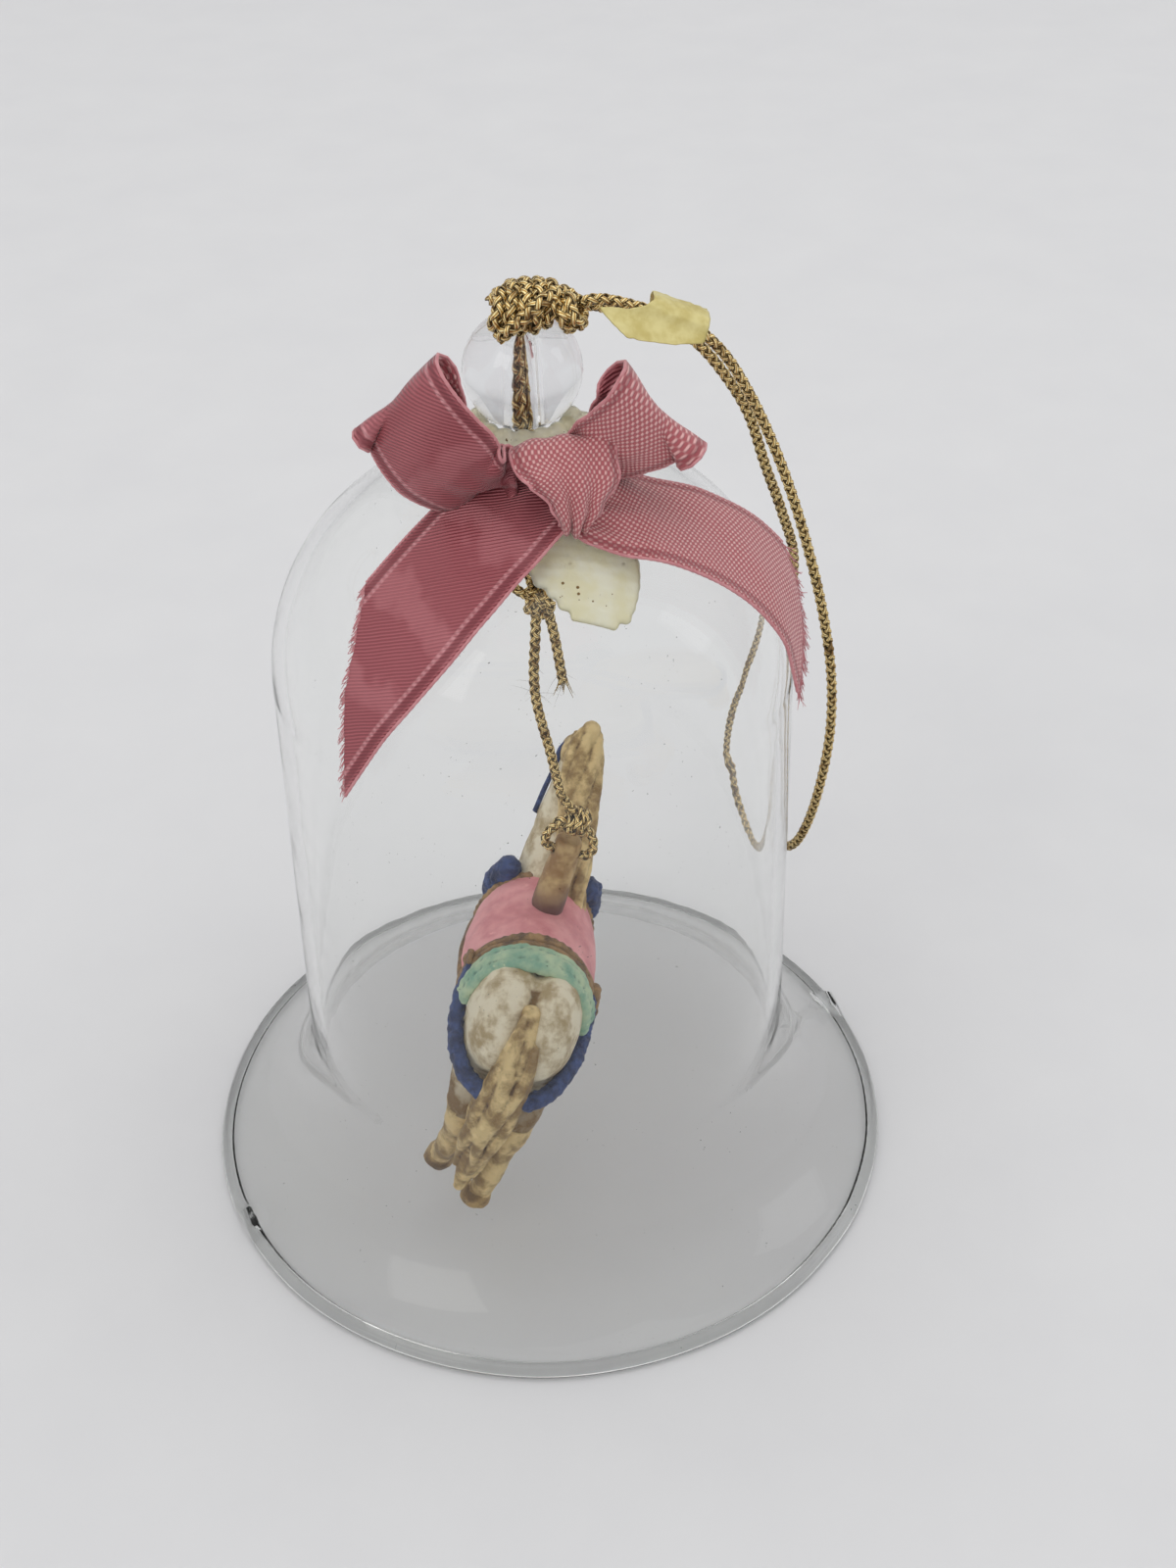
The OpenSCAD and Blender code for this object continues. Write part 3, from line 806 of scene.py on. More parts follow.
class Strip:
    """A ribbon laid through stations: centre, direction across, width share and pleat height."""

    def __init__(self, stations, step=0.25, columns=28):
        self.columns = columns
        packed = [[Vector(c), Vector(a).normalized(), Vector((w, p, 0))] for c, a, w, p in stations]
        centres = smooth_line([s[0] for s in packed], step)
        gone = [0.0]
        for a, b in zip([s[0] for s in packed], [s[0] for s in packed][1:]):
            gone.append(gone[-1] + (b - a).length)
        self.length = length_of(centres)
        self.rows = []
        frames = carried_frames(centres)
        for i, centre in enumerate(centres):
            want = gone[-1] * i / (len(centres) - 1)
            k = max(j for j in range(len(gone) - 1) if gone[j] <= want + 1e-9)
            t = (want - gone[k]) / max(gone[k + 1] - gone[k], 1e-9)
            t = t * t * (3 - 2 * t)
            across = packed[k][1].lerp(packed[k + 1][1], t)
            along = frames[i][0]
            across = (across - along * across.dot(along)).normalized()
            share = packed[k][2].lerp(packed[k + 1][2], t)
            self.rows.append((centre, across, across.cross(along), share.x, share.y))
        self.spacing = self.length / (len(centres) - 1)

    def build(self, name, crown, face_out, trim=None, sides=(0, 0), seed=1):
        """The cloth itself; trim(u) is the length kept at each place across, and sides how far
        each edge drops."""
        mesh = bpy.data.meshes.new(name)
        points, maps = [], []
        rng_shift = Vector((seed * 3.7, seed * 1.3, 0))
        for i, (centre, across, normal, width, pleat) in enumerate(self.rows):
            for j in range(self.columns + 1):
                u = j / self.columns
                s = 2 * u - 1
                keep = 1.0 if trim is None else min(1, trim(u) / self.length)
                lie = i * keep
                low = int(min(lie, len(self.rows) - 1))
                high = min(low + 1, len(self.rows) - 1)
                part = lie - low
                c = centre if keep == 1 else self.rows[low][0].lerp(self.rows[high][0], part)
                a = across if keep == 1 else self.rows[low][1].lerp(self.rows[high][1], part)
                n = normal if keep == 1 else self.rows[low][2].lerp(self.rows[high][2], part)
                w = width if keep == 1 else self.rows[low][3] + (self.rows[high][3]
                    - self.rows[low][3]) * part
                p = pleat if keep == 1 else self.rows[low][4] + (self.rows[high][4]
                    - self.rows[low][4]) * part
                along_mm = lie * self.spacing
                lift = crown * (1 - s * s) + p * math.cos(s * 9.5 + seed) * (1 - 0.3 * s * s)
                lift += 0.16 * noise.noise(Vector((s * 1.6, along_mm * 0.22, 0)) + rng_shift)
                lift += (sides[0] if s < 0 else sides[1]) * s * s
                points.append((c + a * (s * RIBBON / 2 * w) + n * lift) * MM)
                maps.append((u * RIBBON, along_mm))
        wide = self.columns + 1
        faces = []
        for i in range(len(self.rows) - 1):
            for j in range(self.columns):
                a = i * wide + j
                quad = (a, a + 1, a + wide + 1, a + wide)
                faces.append(quad if face_out else quad[::-1])
        mesh.from_pydata(points, [], faces)
        layer = mesh.uv_layers.new(name="UVMap")
        for loop in mesh.loops:
            layer.data[loop.index].uv = maps[loop.vertex_index]
        cloth = bpy.data.objects.new(name, mesh)
        scene.collection.objects.link(cloth)
        settle(cloth, name, FACE, BACK, THREAD)
        thick = cloth.modifiers.new("thickness", "SOLIDIFY")
        thick.thickness = RIBBON_THICK * MM
        thick.offset = 0
        thick.material_offset = 1
        thick.material_offset_rim = 2
        apply_all(cloth)
        self.edge_points = (points, wide)
        return cloth

    def selvedges(self, name, bead=0.15):
        """The corded edges of the ribbon, one bead of thread along each side."""
        points, wide = self.edge_points
        made = Skin()
        for j in (0, wide - 1):
            line = [Vector(points[i]) for i in range(j, len(points), wide)]
            radius = bead * MM
            made.tube(round_rings(line, lambda t: radius * (1 + 0.12 * math.sin(t * 260)), 6), 0,
                      self.spacing)
        return made.piece(name, THREAD)

    def frayed_end(self, name, count, reach, seed):
        """Loose weft and warp threads that stand out of a cut end."""
        points, wide = self.edge_points
        picks = random.Random(seed)
        last = [Vector(p) for p in points[-wide:]]
        before = [Vector(p) for p in points[-2 * wide:-wide]]
        made = Skin()
        for _ in range(count):
            at = picks.uniform(0, wide - 1.001)
            j, part = int(at), at - int(at)
            root = last[j].lerp(last[j + 1], part)
            out = (last[j] - before[j]).normalized()
            side = (last[j + 1] - last[j]).normalized()
            lifted = out.cross(side)
            grow = picks.uniform(0.25, 1) * reach * MM
            bend = side * picks.uniform(-0.5, 0.5) + lifted * picks.uniform(-0.35, 0.35)
            line = smooth_line([root - out * 0.3 * MM, root + out * grow * 0.35 + bend * grow * 0.1,
                                root + out * grow * 0.7 + bend * grow * 0.4, root + out * grow
                                + bend * grow * 0.9],
                               0.12 * MM)
            thin = picks.uniform(0.04, 0.075) * MM
            made.tube(round_rings(line, lambda t: thin * (1.1 - 0.6 * t), 4))
        return made.piece(name, THREAD)


def bow_piece(node, strip, cloth, parts):
    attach(cloth, "bell")
    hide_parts(node)
    for part in parts:
        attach(part, "bell")


def slant(short, long, seed):
    """A ribbon end cut on a slant, from short on its first edge to long on its other, ragged."""
    return lambda u: short + (long - short) * u + 0.3 * noise.noise(Vector((u * 41, seed, 0.5)))


# Left tail: face out, flat, cut on a long slant, and lying off the dome down to its left.
left_tail = Strip([
    ((1.8, -8.4, 81.3), (0.69, -0.68, -0.26), 0.7, 0.25),
    ((0.4, -9.4, 80.7), (0.69, -0.68, -0.26), 0.92, 0.12),
    ((-3.2, -12.2, 78.6), (0.67, -0.69, -0.28), 1.0, 0.0),
    ((-6.4, -14.3, 75.9), (0.68, -0.66, -0.31), 1.0, 0.0),
    ((-9.5, -16.0, 72.9), (0.69, -0.63, -0.34), 1.0, 0.0),
    ((-12.3, -17.0, 70.0), (0.7, -0.62, -0.35), 1.0, 0.0),
    ((-15.0, -17.4, 66.8), (0.7, -0.62, -0.34), 1.0, 0.0),
    ((-17.3, -17.4, 63.2), (0.7, -0.63, -0.32), 1.0, 0.0),
    ((-19.1, -17.1, 60.1), (0.7, -0.64, -0.3), 1.0, 0.0)])
left_cut = [16.0, 31.0]
cloth = left_tail.build("bow_tail_left_cloth", -0.35, False, slant(*left_cut, 1), seed=2)
bow_piece("bow_tail_left", left_tail, cloth,
          [left_tail.selvedges("bow_tail_left_selvedge"),
           left_tail.frayed_end("bow_tail_left_fray", 190, 1.1, 3)])

# Right tail: back out, curving over the shoulder and down, its cut end frayed.
right_tail = Strip([
    ((4.2, -10.2, 80.6), (-0.62, -0.72, -0.3), 0.5, 0.3),
    ((5.9, -10.2, 79.7), (-0.6, -0.76, -0.25), 0.62, 0.25),
    ((8.0, -9.6, 78.9), (-0.3, -0.93, -0.2), 0.85, 0.12),
    ((10.4, -8.9, 78.0), (-0.05, -0.98, -0.13), 1.0, 0.03),
    ((15.0, -8.0, 75.8), (-0.06, -0.97, -0.2), 1.0, 0.0),
    ((19.2, -7.5, 72.6), (-0.14, -0.96, -0.2), 1.0, 0.0),
    ((22.1, -7.2, 68.4), (-0.2, -0.97, -0.14), 1.0, 0.0),
    ((23.6, -7.3, 63.2), (-0.24, -0.97, -0.05), 1.0, 0.0),
    ((24.0, -7.5, 58.8), (-0.26, -0.96, 0), 1.0, 0.0)])
right_cut = [19.8, 28.4]
cloth = right_tail.build("bow_tail_right_cloth", 0.3, False, slant(*right_cut, 7), seed=5)
bow_piece("bow_tail_right", right_tail, cloth,
          [right_tail.selvedges("bow_tail_right_selvedge"),
           right_tail.frayed_end("bow_tail_right_fray", 260, 1.9, 8)])

# Left loop: face out, a broad flat band that is gathered only where it dives behind the knot.
left_loop = Strip([
    ((-0.4, -9.0, 82.2), (0.8, -0.05, 0.6), 0.42, 0.2),
    ((-1.9, -8.9, 82.2), (0.82, -0.05, 0.57), 0.55, 0.22),
    ((-4.0, -10.3, 82.5), (0.8, -0.05, 0.58), 0.8, 0.12),
    ((-6.3, -11.0, 84.9), (0.7, -0.15, 0.7), 0.96, 0.03),
    ((-8.2, -10.4, 87.4), (0.62, -0.22, 0.75), 1.0, 0.0),
    ((-9.1, -9.0, 88.7), (0.6, -0.25, 0.76), 1.0, 0.0),
    ((-8.6, -8.0, 87.7), (0.6, -0.25, 0.76), 0.92, 0.0),
    ((-6.9, -7.7, 84.9), (0.62, -0.22, 0.74), 0.76, 0.05),
    ((-4.2, -7.8, 82.6), (0.66, -0.18, 0.7), 0.56, 0.2),
    ((-0.8, -8.4, 82.4), (0.7, -0.1, 0.65), 0.4, 0.25)])
cloth = left_loop.build("bow_loop_left_cloth", 0.6, True, seed=7)
bow_piece("bow_loop_left", left_loop, cloth,
          [left_loop.selvedges("bow_loop_left_selvedge")])

# Right loop: shorter, back out, tipped up and away.
right_loop = Strip([
    ((4.0, -7.6, 82.4), (0.6, 0.1, -0.8), 0.45, 0.3),
    ((5.5, -7.8, 83.2), (0.6, 0.1, -0.79), 0.58, 0.22),
    ((7.2, -8.7, 84.5), (0.6, 0.2, -0.77), 0.75, 0.12),
    ((9.0, -9.1, 85.8), (0.59, 0.28, -0.76), 0.9, 0.04),
    ((10.3, -8.4, 86.8), (0.585, 0.3, -0.75), 1.0, 0.0),
    ((10.3, -7.3, 86.4), (0.585, 0.3, -0.75), 1.0, 0.0),
    ((8.9, -6.6, 84.9), (0.58, 0.28, -0.76), 0.9, 0.04),
    ((6.6, -6.4, 83.2), (0.58, 0.2, -0.79), 0.65, 0.15),
    ((4.0, -6.8, 82.2), (0.6, 0.1, -0.8), 0.45, 0.2)])
cloth = right_loop.build("bow_loop_right_cloth", 0.5, False, seed=4)
bow_piece("bow_loop_right", right_loop, cloth,
          [right_loop.selvedges("bow_loop_right_selvedge")])

# Knot band: back out, nearly full width over the top, then pinched to a point below.
knot_band = Strip([
    ((3.0, -6.6, 82.6), (1.0, 0.0, 0.1), 0.7, 0.1),
    ((3.1, -8.1, 84.5), (1.0, 0.0, 0.1), 0.8, 0.1),
    ((3.3, -9.8, 84.9), (1.0, 0.02, 0.08), 0.84, 0.12),
    ((4.2, -11.7, 83.3), (0.93, 0.25, -0.16), 0.74, 0.18),
    ((4.3, -12.7, 81.3), (0.93, 0.25, -0.16), 0.42, 0.3),
    ((4.1, -12.8, 79.8), (0.95, 0.2, -0.1), 0.24, 0.35),
    ((4.0, -11.4, 78.8), (0.98, 0.1, 0.0), 0.24, 0.2)])
cloth = knot_band.build("bow_knot_cloth", -0.5, True, seed=9)
bow_piece("bow_knot", knot_band, cloth,
          [knot_band.selvedges("bow_knot_selvedge")])


# ---------------------------------------------------------------------------------------------
# Clapper cord: the same braid hangs doubled from the crown to a rough knot. Below the knot one
# strand carries on to the horse, and the other is a cut end that has come unbraided.
knot_in = (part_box("inner_knot")[0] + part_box("inner_knot")[1]) / 2 / MM
cord_piece("neck_cord_pair", "neck_cord", "neck_cord",
           [(-0.55, -0.1, crown_inside - 0.4), (-0.6, -0.2, 72.6), (-0.35, -0.35, 69.2), (0.1, -0.3, 66.4)],
           [(0.5, 0.1, crown_inside - 0.4), (0.75, 0, 72.8), (1.0, -0.2, 69.4), (1.0, -0.2, 66.4)])


def loose_hairs(roots, count, reach, seed):
    """Fine fibres that stand out of a worn cord: roots [x, y, z] in millimetres."""
    picks = random.Random(seed)
    made = Skin()
    for _ in range(count):
        root = Vector(picks.choice(roots))
        away = Vector((picks.uniform(-1, 1), picks.uniform(-1, 0.4), picks.uniform(-0.7, 0.5))).normalized()
        droop = Vector((picks.uniform(-0.3, 0.3), picks.uniform(-0.3, 0.3), picks.uniform(-0.6, 0)))
        grow = picks.uniform(0.4, 1) * reach
        line = smooth_line([(root + away * grow * t + droop * grow * t * t) * MM for t in (0, 0.35, 0.7, 1)],
                           0.25 * MM)
        made.tube(round_rings(line, lambda t: 0.016 * MM * (1.15 - t), 3))
    return made


def fibre():
    made = Finish("fibre", Roughness=0.6)
    made.feed("Base Color", made.place.noise(800, 2).blend(colour(70, 50, 38), colour(132, 108, 84)))
    return made


FIBRE = fibre()
skin = Skin()
tangle = wound_knot(knot_in, (1.1, 1.15, 1.35), 3, 0.45, 0.16, 21)
cross_over = [knot_in + Vector(p) for p in ((-0.9, -1.1, 1.2), (0.1, -1.45, 0.7), (1.1, -1.1, -0.1),
                                            (0.9, -0.5, -1.2), (0.2, -0.6, -1.7))]
loose_end = [knot_in + Vector(p) for p in ((-0.2, -0.9, 0.7), (-1.1, -1.2, 1.0), (-1.8, -1.2, 1.5),
                                           (-2.2, -1.0, 1.9))]
for route in (tangle, cross_over, loose_end):
    braid_into(skin, smooth_line([Vector(p) * MM for p in route], cord_step), CORD * 0.95)
inner_knot = skin.piece("inner_knot_turns", GOLD, CORE)
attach(inner_knot, "inner_knot")
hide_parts("inner_knot")

drop_route = [(0.4, 0, 63.6), (0.2, 0, 60), (0, -0.1, 57), (0.1, -0.2, 54), (0.6, -0.2, 51),
              (1.2, -0.1, 48), (1.7, 0, 45), (2.2, 0, 42.4), (3.2, 0.1, 40.6)]
cord_piece("drop_cord_braid", "drop_cord", "drop_cord", drop_route)

tail_route = [knot_in + Vector((0.8, -0.1, -1.1)), Vector((1.9, 0.1, 61)), Vector((2.3, 0.2, 58)),
              Vector((2.6, 0.2, 55.6))]
skin = Skin()
braid_into(skin, smooth_line([p * MM for p in tail_route], cord_step), CORD * 0.98)
picks = random.Random(5)
for _ in range(15):
    root = tail_route[-1] + Vector((picks.uniform(-0.3, 0.3), picks.uniform(-0.3, 0.3), 0.5))
    splay = Vector((picks.uniform(-0.5, 0.5), picks.uniform(-0.4, 0.4), -1))
    line = smooth_line([(root + splay * t * picks.uniform(0.8, 1.3)) * MM for t in (0, 0.5, 1.0, 1.4)],
                       0.15 * MM)
    skin.tube(round_rings(line, lambda t: 0.055 * MM * (1.1 - 0.7 * t), 5), 0)
cord_tail = skin.piece("cord_tail_frayed", GOLD, CORE)
hairs = loose_hairs([(0, -0.4, 57.5), (-0.1, -0.4, 56), (0.1, -0.4, 54.8), (2.6, 0, 56.8), (2.7, 0, 55.6)],
                    26, 2.4,
                    14).piece("cord_hairs", FIBRE)
for piece in (cord_tail, hairs):
    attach(piece, "drop_cord")
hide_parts("cord_tail")

# ---------------------------------------------------------------------------------------------
# Eye of the pole: the cord goes through the cross hole, up both sides of the stub, and is
# knotted over it. The horse's own frame starts here: origin at the eye, X across, Y forwards.
hang = Matrix.Translation(Vector((2.5, 0, 36.1)) * MM) @ Euler(
    [math.radians(t) for t in (-6, 17, -5)]).to_matrix().to_4x4()
stub_r = 1.5
side = stub_r + 0.85


def in_hang(route):
    """Points of the horse's frame, in millimetres, put where the horse hangs."""
    return [hang @ (Vector(p) * MM) for p in route]


skin = Skin()
up_side = [(0.3, 3.4), (side - 0.8, 2.7), (side - 0.1, 1.6), (side, 0.7), (side - 0.35, 0.1), (side - 1, 0)]
through = [(-x, 0, z) for x, z in up_side] + [(x, 0, z) for x, z in reversed(up_side)]
over_eye = wound_knot((0.1, -0.1, 3.4), (1.25, 0.95, 0.85), 3, 0.3, 0.08, 17)
for route in (through, over_eye):
    braid_into(skin, smooth_line(in_hang(route), cord_step), CORD * 0.98)
eye_knot = skin.piece("eye_knot", GOLD, CORE)
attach(eye_knot, "drop_cord")
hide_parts("pole_knot")


# ---------------------------------------------------------------------------------------------
# Carousel horse: one resin casting, cream with a tan-gold wash rubbed over brown hollows. The
# body, neck and legs are modelled in soft lumps, as a sculptor builds them up in clay.
def resin(name, hollow, middle, crest, grain=420, spread=(0.42, 0.62), gloss=0.5, painted_shade_below=None):
    """Cast resin with a dark wash left in the hollows and paint rubbed off the crests. When asked, it is also
    darkened towards the bottom: painted shade under the body.
    """
    made = Finish(name, Specular_IOR_Level=0.4)
    wash = made.place.noise(grain, 5, 0.62)
    dips = made.hollow.between(0.5, 0.44)
    rubbed = made.hollow.between(0.505, 0.56)
    patchy = wash.between(*spread).blend(colour(*middle), colour(*crest))
    worn = (rubbed * 0.75).blend(patchy, colour(*[min(255, c + 16) for c in crest]))
    wash_and_low_shade = dips * 0.85 + wash.between(0.6, 0.34) * 0.55
    # Below a height the colour also goes to the dark wash: painted shade under the body and legs.
    if painted_shade_below:
        low, high = painted_shade_below
        wash_and_low_shade = wash_and_low_shade + (made.place.axis("Z") + wash * 0.004).between(high, low) * 0.75
    washed_and_shaded = wash_and_low_shade.blend(worn, colour(*hollow))
    made.feed("Base Color", washed_and_shaded)
    made.feed("Roughness", wash * 0.25 + (gloss - 0.1))
    made.relief(made.place.noise(grain * 4, 4) + wash * 1.5, 0.0001, 0.55)
    return made


# The cream darkens from 24.5 mm up down to fully at 19 mm: painted shade under the horse's body.
CREAM = resin("cream_resin", (128, 98, 54), (218, 198, 152), (236, 226, 200), spread=(0.3, 0.62),
              painted_shade_below=(0.019, 0.0245))
TAN = resin("tan_resin", (92, 62, 30), (182, 148, 90), (226, 200, 144), spread=(0.36, 0.6))
HOOF = resin("hoof_wash", (70, 48, 26), (134, 102, 60), (182, 152, 100))


def lump(x, y, z, rx, ry=None, rz=None):
    """One ball of clay, in the horse's frame."""
    return (x, y, z, rx, ry or rx, rz or rx)


def drawn_out(points, count=7):
    """Balls along a limb whose points are [x, y, z, radius], close enough to blend."""
    balls = []
    for a, b in zip(points, points[1:]):
        for k in range(count):
            t = k / count
            balls.append(lump(*(u + (v - u) * t for u, v in zip(a[:3], b[:3])), a[3] + (b[3] - a[3]) * t))
    balls.append(lump(*points[-1][:3], points[-1][3]))
    return balls


def clay(name, balls, voxel, smoothing, *finishes, carve=None):
    """Presses balls of clay together, smooths them, carves them, and hangs the result."""
    bpy.ops.mesh.primitive_ico_sphere_add(subdivisions=3, radius=MM)
    first = bpy.context.object
    made = []
    for x, y, z, rx, ry, rz in balls:
        ball = first.copy()
        ball.data = first.data.copy()
        ball.location = Vector((x, y, z)) * MM
        ball.scale = (rx, ry, rz)
        scene.collection.objects.link(ball)
        made.append(ball)
    bpy.data.objects.remove(first)
    pick(*made)
    bpy.ops.object.join()
    piece = bpy.context.object
    bpy.ops.object.transform_apply(location=True, rotation=True, scale=True)
    skin_over = piece.modifiers.new("skin", "REMESH")
    skin_over.mode = "VOXEL"
    skin_over.voxel_size = voxel * MM
    soften = piece.modifiers.new("soften", "SMOOTH")
    soften.iterations = smoothing
    apply_all(piece)
    if carve:
        normals = [v.normal.copy() for v in piece.data.vertices]
        for vertex, normal in zip(piece.data.vertices, normals):
            vertex.co += normal * carve(vertex.co / MM) * MM
    piece.data.transform(hang)
    return settle(piece, name, *finishes)


def horse_piece(piece, slot, *nodes):
    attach(piece, "horse")
    if nodes:
        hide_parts(*nodes)


def chisel(p, size=1.0, depth=0.1):
    """Uneven tool marks, as a casting keeps them from its carved master."""
    return depth * (noise.noise(p * size) + 0.5 * noise.noise(p * size * 2.3 + Vector((7, 3, 1))))


body = [lump(0, -2.6, -13.4, 5.3, 10.5, 5.7), lump(0, 5.8, -12.8, 4.7, 5.8, 6.1),
        lump(0, 9, -11.6, 3.6, 3.6, 4.4)]
for s in (-1, 1):
    body += [lump(s * 1.9, -10.7, -12.7, 3.6, 5.9, 5.6), lump(s * 2.3, -10.2, -15.2, 3.1, 4.6, 4.6),
             lump(s * 2.0, 6.6, -14.2, 2.8, 3.8, 4.2)]
body += [lump(x * 0.9, y, z, r * 0.82, r, r) for x, y, z, r, _, _ in drawn_out(
    [(0, 6.4, -10.5, 4.3), (0, 8.6, -6.8, 3.8), (0, 10.4, -3.2, 3.0), (0, 12.2, 2.6, 2.2)], 5)]
horse_body = clay("horse_barrel_and_neck", body, 0.3, 10, CREAM, TAN,
                  carve=lambda p: chisel(p, 0.5, 0.1) - 0.35 * math.exp(-(p.x / 0.5) ** 2) * (p.y < -12))
horse_piece(horse_body, "cream_resin", "horse_body")

# Head: long muzzle, deep jaw, small ears laid back, and plain rounded eyes.
head = drawn_out([(0, 12.2, 3.0, 2.1), (0, 13.6, 2.5, 2.1), (0, 15.4, 0.6, 1.65), (0, 16.8, -1.5, 1.3),
                  (0, 17.3, -2.5, 1.25)], 5)
head += [lump(0, 13.2, 0.9, 1.5, 1.7, 1.7), lump(0, 16.9, -3.1, 1.15, 1.0, 0.8)]
for s in (-1, 1):
    head += [lump(s * 0.95, 14.6, 2.6, 0.55, 0.7, 0.6), lump(s * 0.75, 17.9, -2.1, 0.4),
             lump(s * 1.1, 13.5, 0.7, 0.9, 1.3, 1.2)]
    head += [lump(x, y, z, r * 0.7, r * 0.5, r) for x, y, z, r, _, _ in drawn_out(
        [(s * 0.9, 12.0, 4.4, 0.9), (s * 1.2, 11.5, 5.3, 0.75), (s * 1.3, 11.1, 6.0, 0.5)], 4)]
horse_head = clay("horse_head_carved", head, 0.17, 3, TAN,
                  carve=lambda p: chisel(p, 1.2, 0.06)
                  - 0.2 * (p.y > 16.4) * math.exp(-((p.z + 3.0) / 0.16) ** 2))
horse_piece(horse_head, "tan_resin", "horse_head")
eyes = []
for s in (-1, 1):
    bpy.ops.mesh.primitive_uv_sphere_add(segments=20, ring_count=12, radius=0.36 * MM,
                                         location=(s * 1.42 * MM, 14.9 * MM, 2.35 * MM))
    eyes.append(bpy.context.object)
pick(*eyes)
bpy.ops.object.join()
bpy.ops.object.transform_apply(location=True, rotation=True, scale=True)
bpy.context.object.data.transform(hang)
horse_eyes = settle(bpy.context.object, "horse_eyes", HOOF)
horse_piece(horse_eyes, "tan_resin")

# Legs: forelegs folded up in a leap, hind legs stretched back. Each ends in a flat brown hoof.
legs = {
    "foreleg_left": [(-2.6, 7, -16.6, 2.2), (-2.7, 9.8, -18.3, 1.8), (-2.7, 12.0, -19.6, 1.45),
                     (-2.6, 11.7, -22.6, 1.0), (-2.6, 11.1, -24.4, 1.15), (-2.6, 9.9, -25.9, 1.0)],
    "foreleg_right": [(2.6, 7, -16.6, 2.2), (2.7, 9.8, -18.3, 1.8), (2.7, 12.0, -19.6, 1.45),
                      (2.6, 11.7, -22.6, 1.0), (2.6, 11.1, -24.4, 1.15), (2.6, 9.9, -25.9, 1.0)],
    "hind_leg_left": [(-2.5, -10.6, -17, 3.0), (-2.6, -12, -21, 2.3), (-2.7, -12.9, -24.4, 1.65),
                      (-2.75, -11.9, -27.2, 1.2), (-2.8, -10.8, -30, 1.3), (-2.9, -9.6, -32.2, 1.15)],
    "hind_leg_right": [(2.5, -10.8, -17, 3.0), (2.4, -12.2, -21.2, 2.3), (2.4, -13, -24.8, 1.65),
                       (2.1, -12.9, -27.8, 1.2), (1.8, -12.6, -31, 1.3), (1.5, -12.3, -33.4, 1.15)]}
for node, points in legs.items():
    balls = drawn_out(points, 5)
    end, before = Vector(points[-1][:3]), Vector(points[-2][:3])
    away = (end - before).normalized()
    for k in range(5):
        place = end + away * (0.35 * k)
        balls.append(lump(*place, 1.15 + 0.09 * k))
    leg = clay(node + "_carved", balls, 0.22, 4, CREAM, TAN, HOOF, carve=lambda p: chisel(p, 0.9, 0.12))
    hoof_from = hang @ ((end + away * 0.1) * MM)
    knee = hang @ (Vector(points[2][:3]) * MM)
    away_out = (hang.to_3x3() @ away).normalized()
    down_leg = (hoof_from - knee).normalized()
    for face in leg.data.polygons:
        if (face.center - hoof_from).dot(away_out) > 0:
            face.material_index = 2
        elif (face.center - knee).dot(down_leg) > -1.5 * MM:
            face.material_index = 1
    # the sole is cut flat
    pick(leg)
    bpy.ops.object.mode_set(mode="EDIT")
    bpy.ops.mesh.select_all(action="SELECT")
    bpy.ops.mesh.bisect(plane_co=hang @ ((end + away * 1.9) * MM), plane_no=away_out, use_fill=True,
                        clear_outer=True)
    bpy.ops.object.mode_set(mode="OBJECT")
    horse_piece(leg, "cream_resin", node)


# Mane and tail: carved locks that run side by side, tan-gold on the crests and brown between.
def locks(name, spine, count, spread, thin, twist, seed, voxel=0.17):
    """A bundle of S-shaped locks round a spine whose points are [x, y, z, radius]."""
    picks = random.Random(seed)
    line = smooth_line([Vector(p[:3]) for p in spine], 0.35)
    frames = carried_frames(line, Vector((1, 0, 0)))
    balls = []
    for strand in range(count):
        turn = 2 * math.pi * strand / count + picks.uniform(-0.3, 0.3)
        start, stop = picks.uniform(0, 0.12), picks.uniform(0.82, 1.0)
        wave, phase = picks.uniform(0.15, 0.4), picks.uniform(0, 6.28)
        for i, (here, (_, side_, up_)) in enumerate(zip(line, frames)):
            share = i / (len(line) - 1)
            if not start <= share <= stop:
                continue
            k = share * (len(spine) - 1)
            j = min(int(k), len(spine) - 2)
            fat = spine[j][3] + (spine[j + 1][3] - spine[j][3]) * (k - j)
            a = turn + twist * share + wave * math.sin(share * 9 + phase)
            inner = (share - start) / (stop - start)
            r = thin * fat * (0.55 + 0.45 * math.sin(math.pi * min(1, inner * 1.15) ** 0.8))
            place = here + (side_ * math.cos(a) + up_ * math.sin(a)) * fat * spread
            balls.append(lump(*place, max(r, 0.22)))
    for i in range(0, len(line), 2):
        k = i / (len(line) - 1) * (len(spine) - 1)
        j = min(int(k), len(spine) - 2)
        fat = spine[j][3] + (spine[j + 1][3] - spine[j][3]) * (k - j)
        balls.append(lump(*line[i], fat * 0.66))
    return clay(name, balls, voxel, 2, TAN, carve=lambda p: chisel(p, 1.3, 0.05))


mane = locks("mane_locks", [(0.0, 11.0, 7.0, 1.5), (0.0, 10.6, 5.4, 2.1), (0.3, 9.6, 3.0, 2.2),
                            (0.8, 8.2, 0.4, 2.1),
                            (1.4, 6.6, -2.4, 2.0), (2.0, 5.0, -5.2, 1.85), (2.8, 3.4, -7.9, 1.6),
                            (3.8, 2.0, -10.4, 1.2)],
             8, 0.66, 0.4, 2.6, 31)
horse_piece(mane, "tan_resin", "mane")
tail = locks("tail_locks", [(0, -14.4, -9.2, 1.5), (0, -16.0, -11.6, 1.9), (0, -16.6, -15, 2.0),
                            (-0.3, -16.1, -19, 2.3),
                            (-0.6, -15.3, -24, 2.3), (-0.8, -14.5, -29, 1.7), (-0.8, -14, -32.2, 0.9)],
            8, 0.74, 0.36, 1.3, 8)
horse_piece(tail, "tan_resin", "tail")


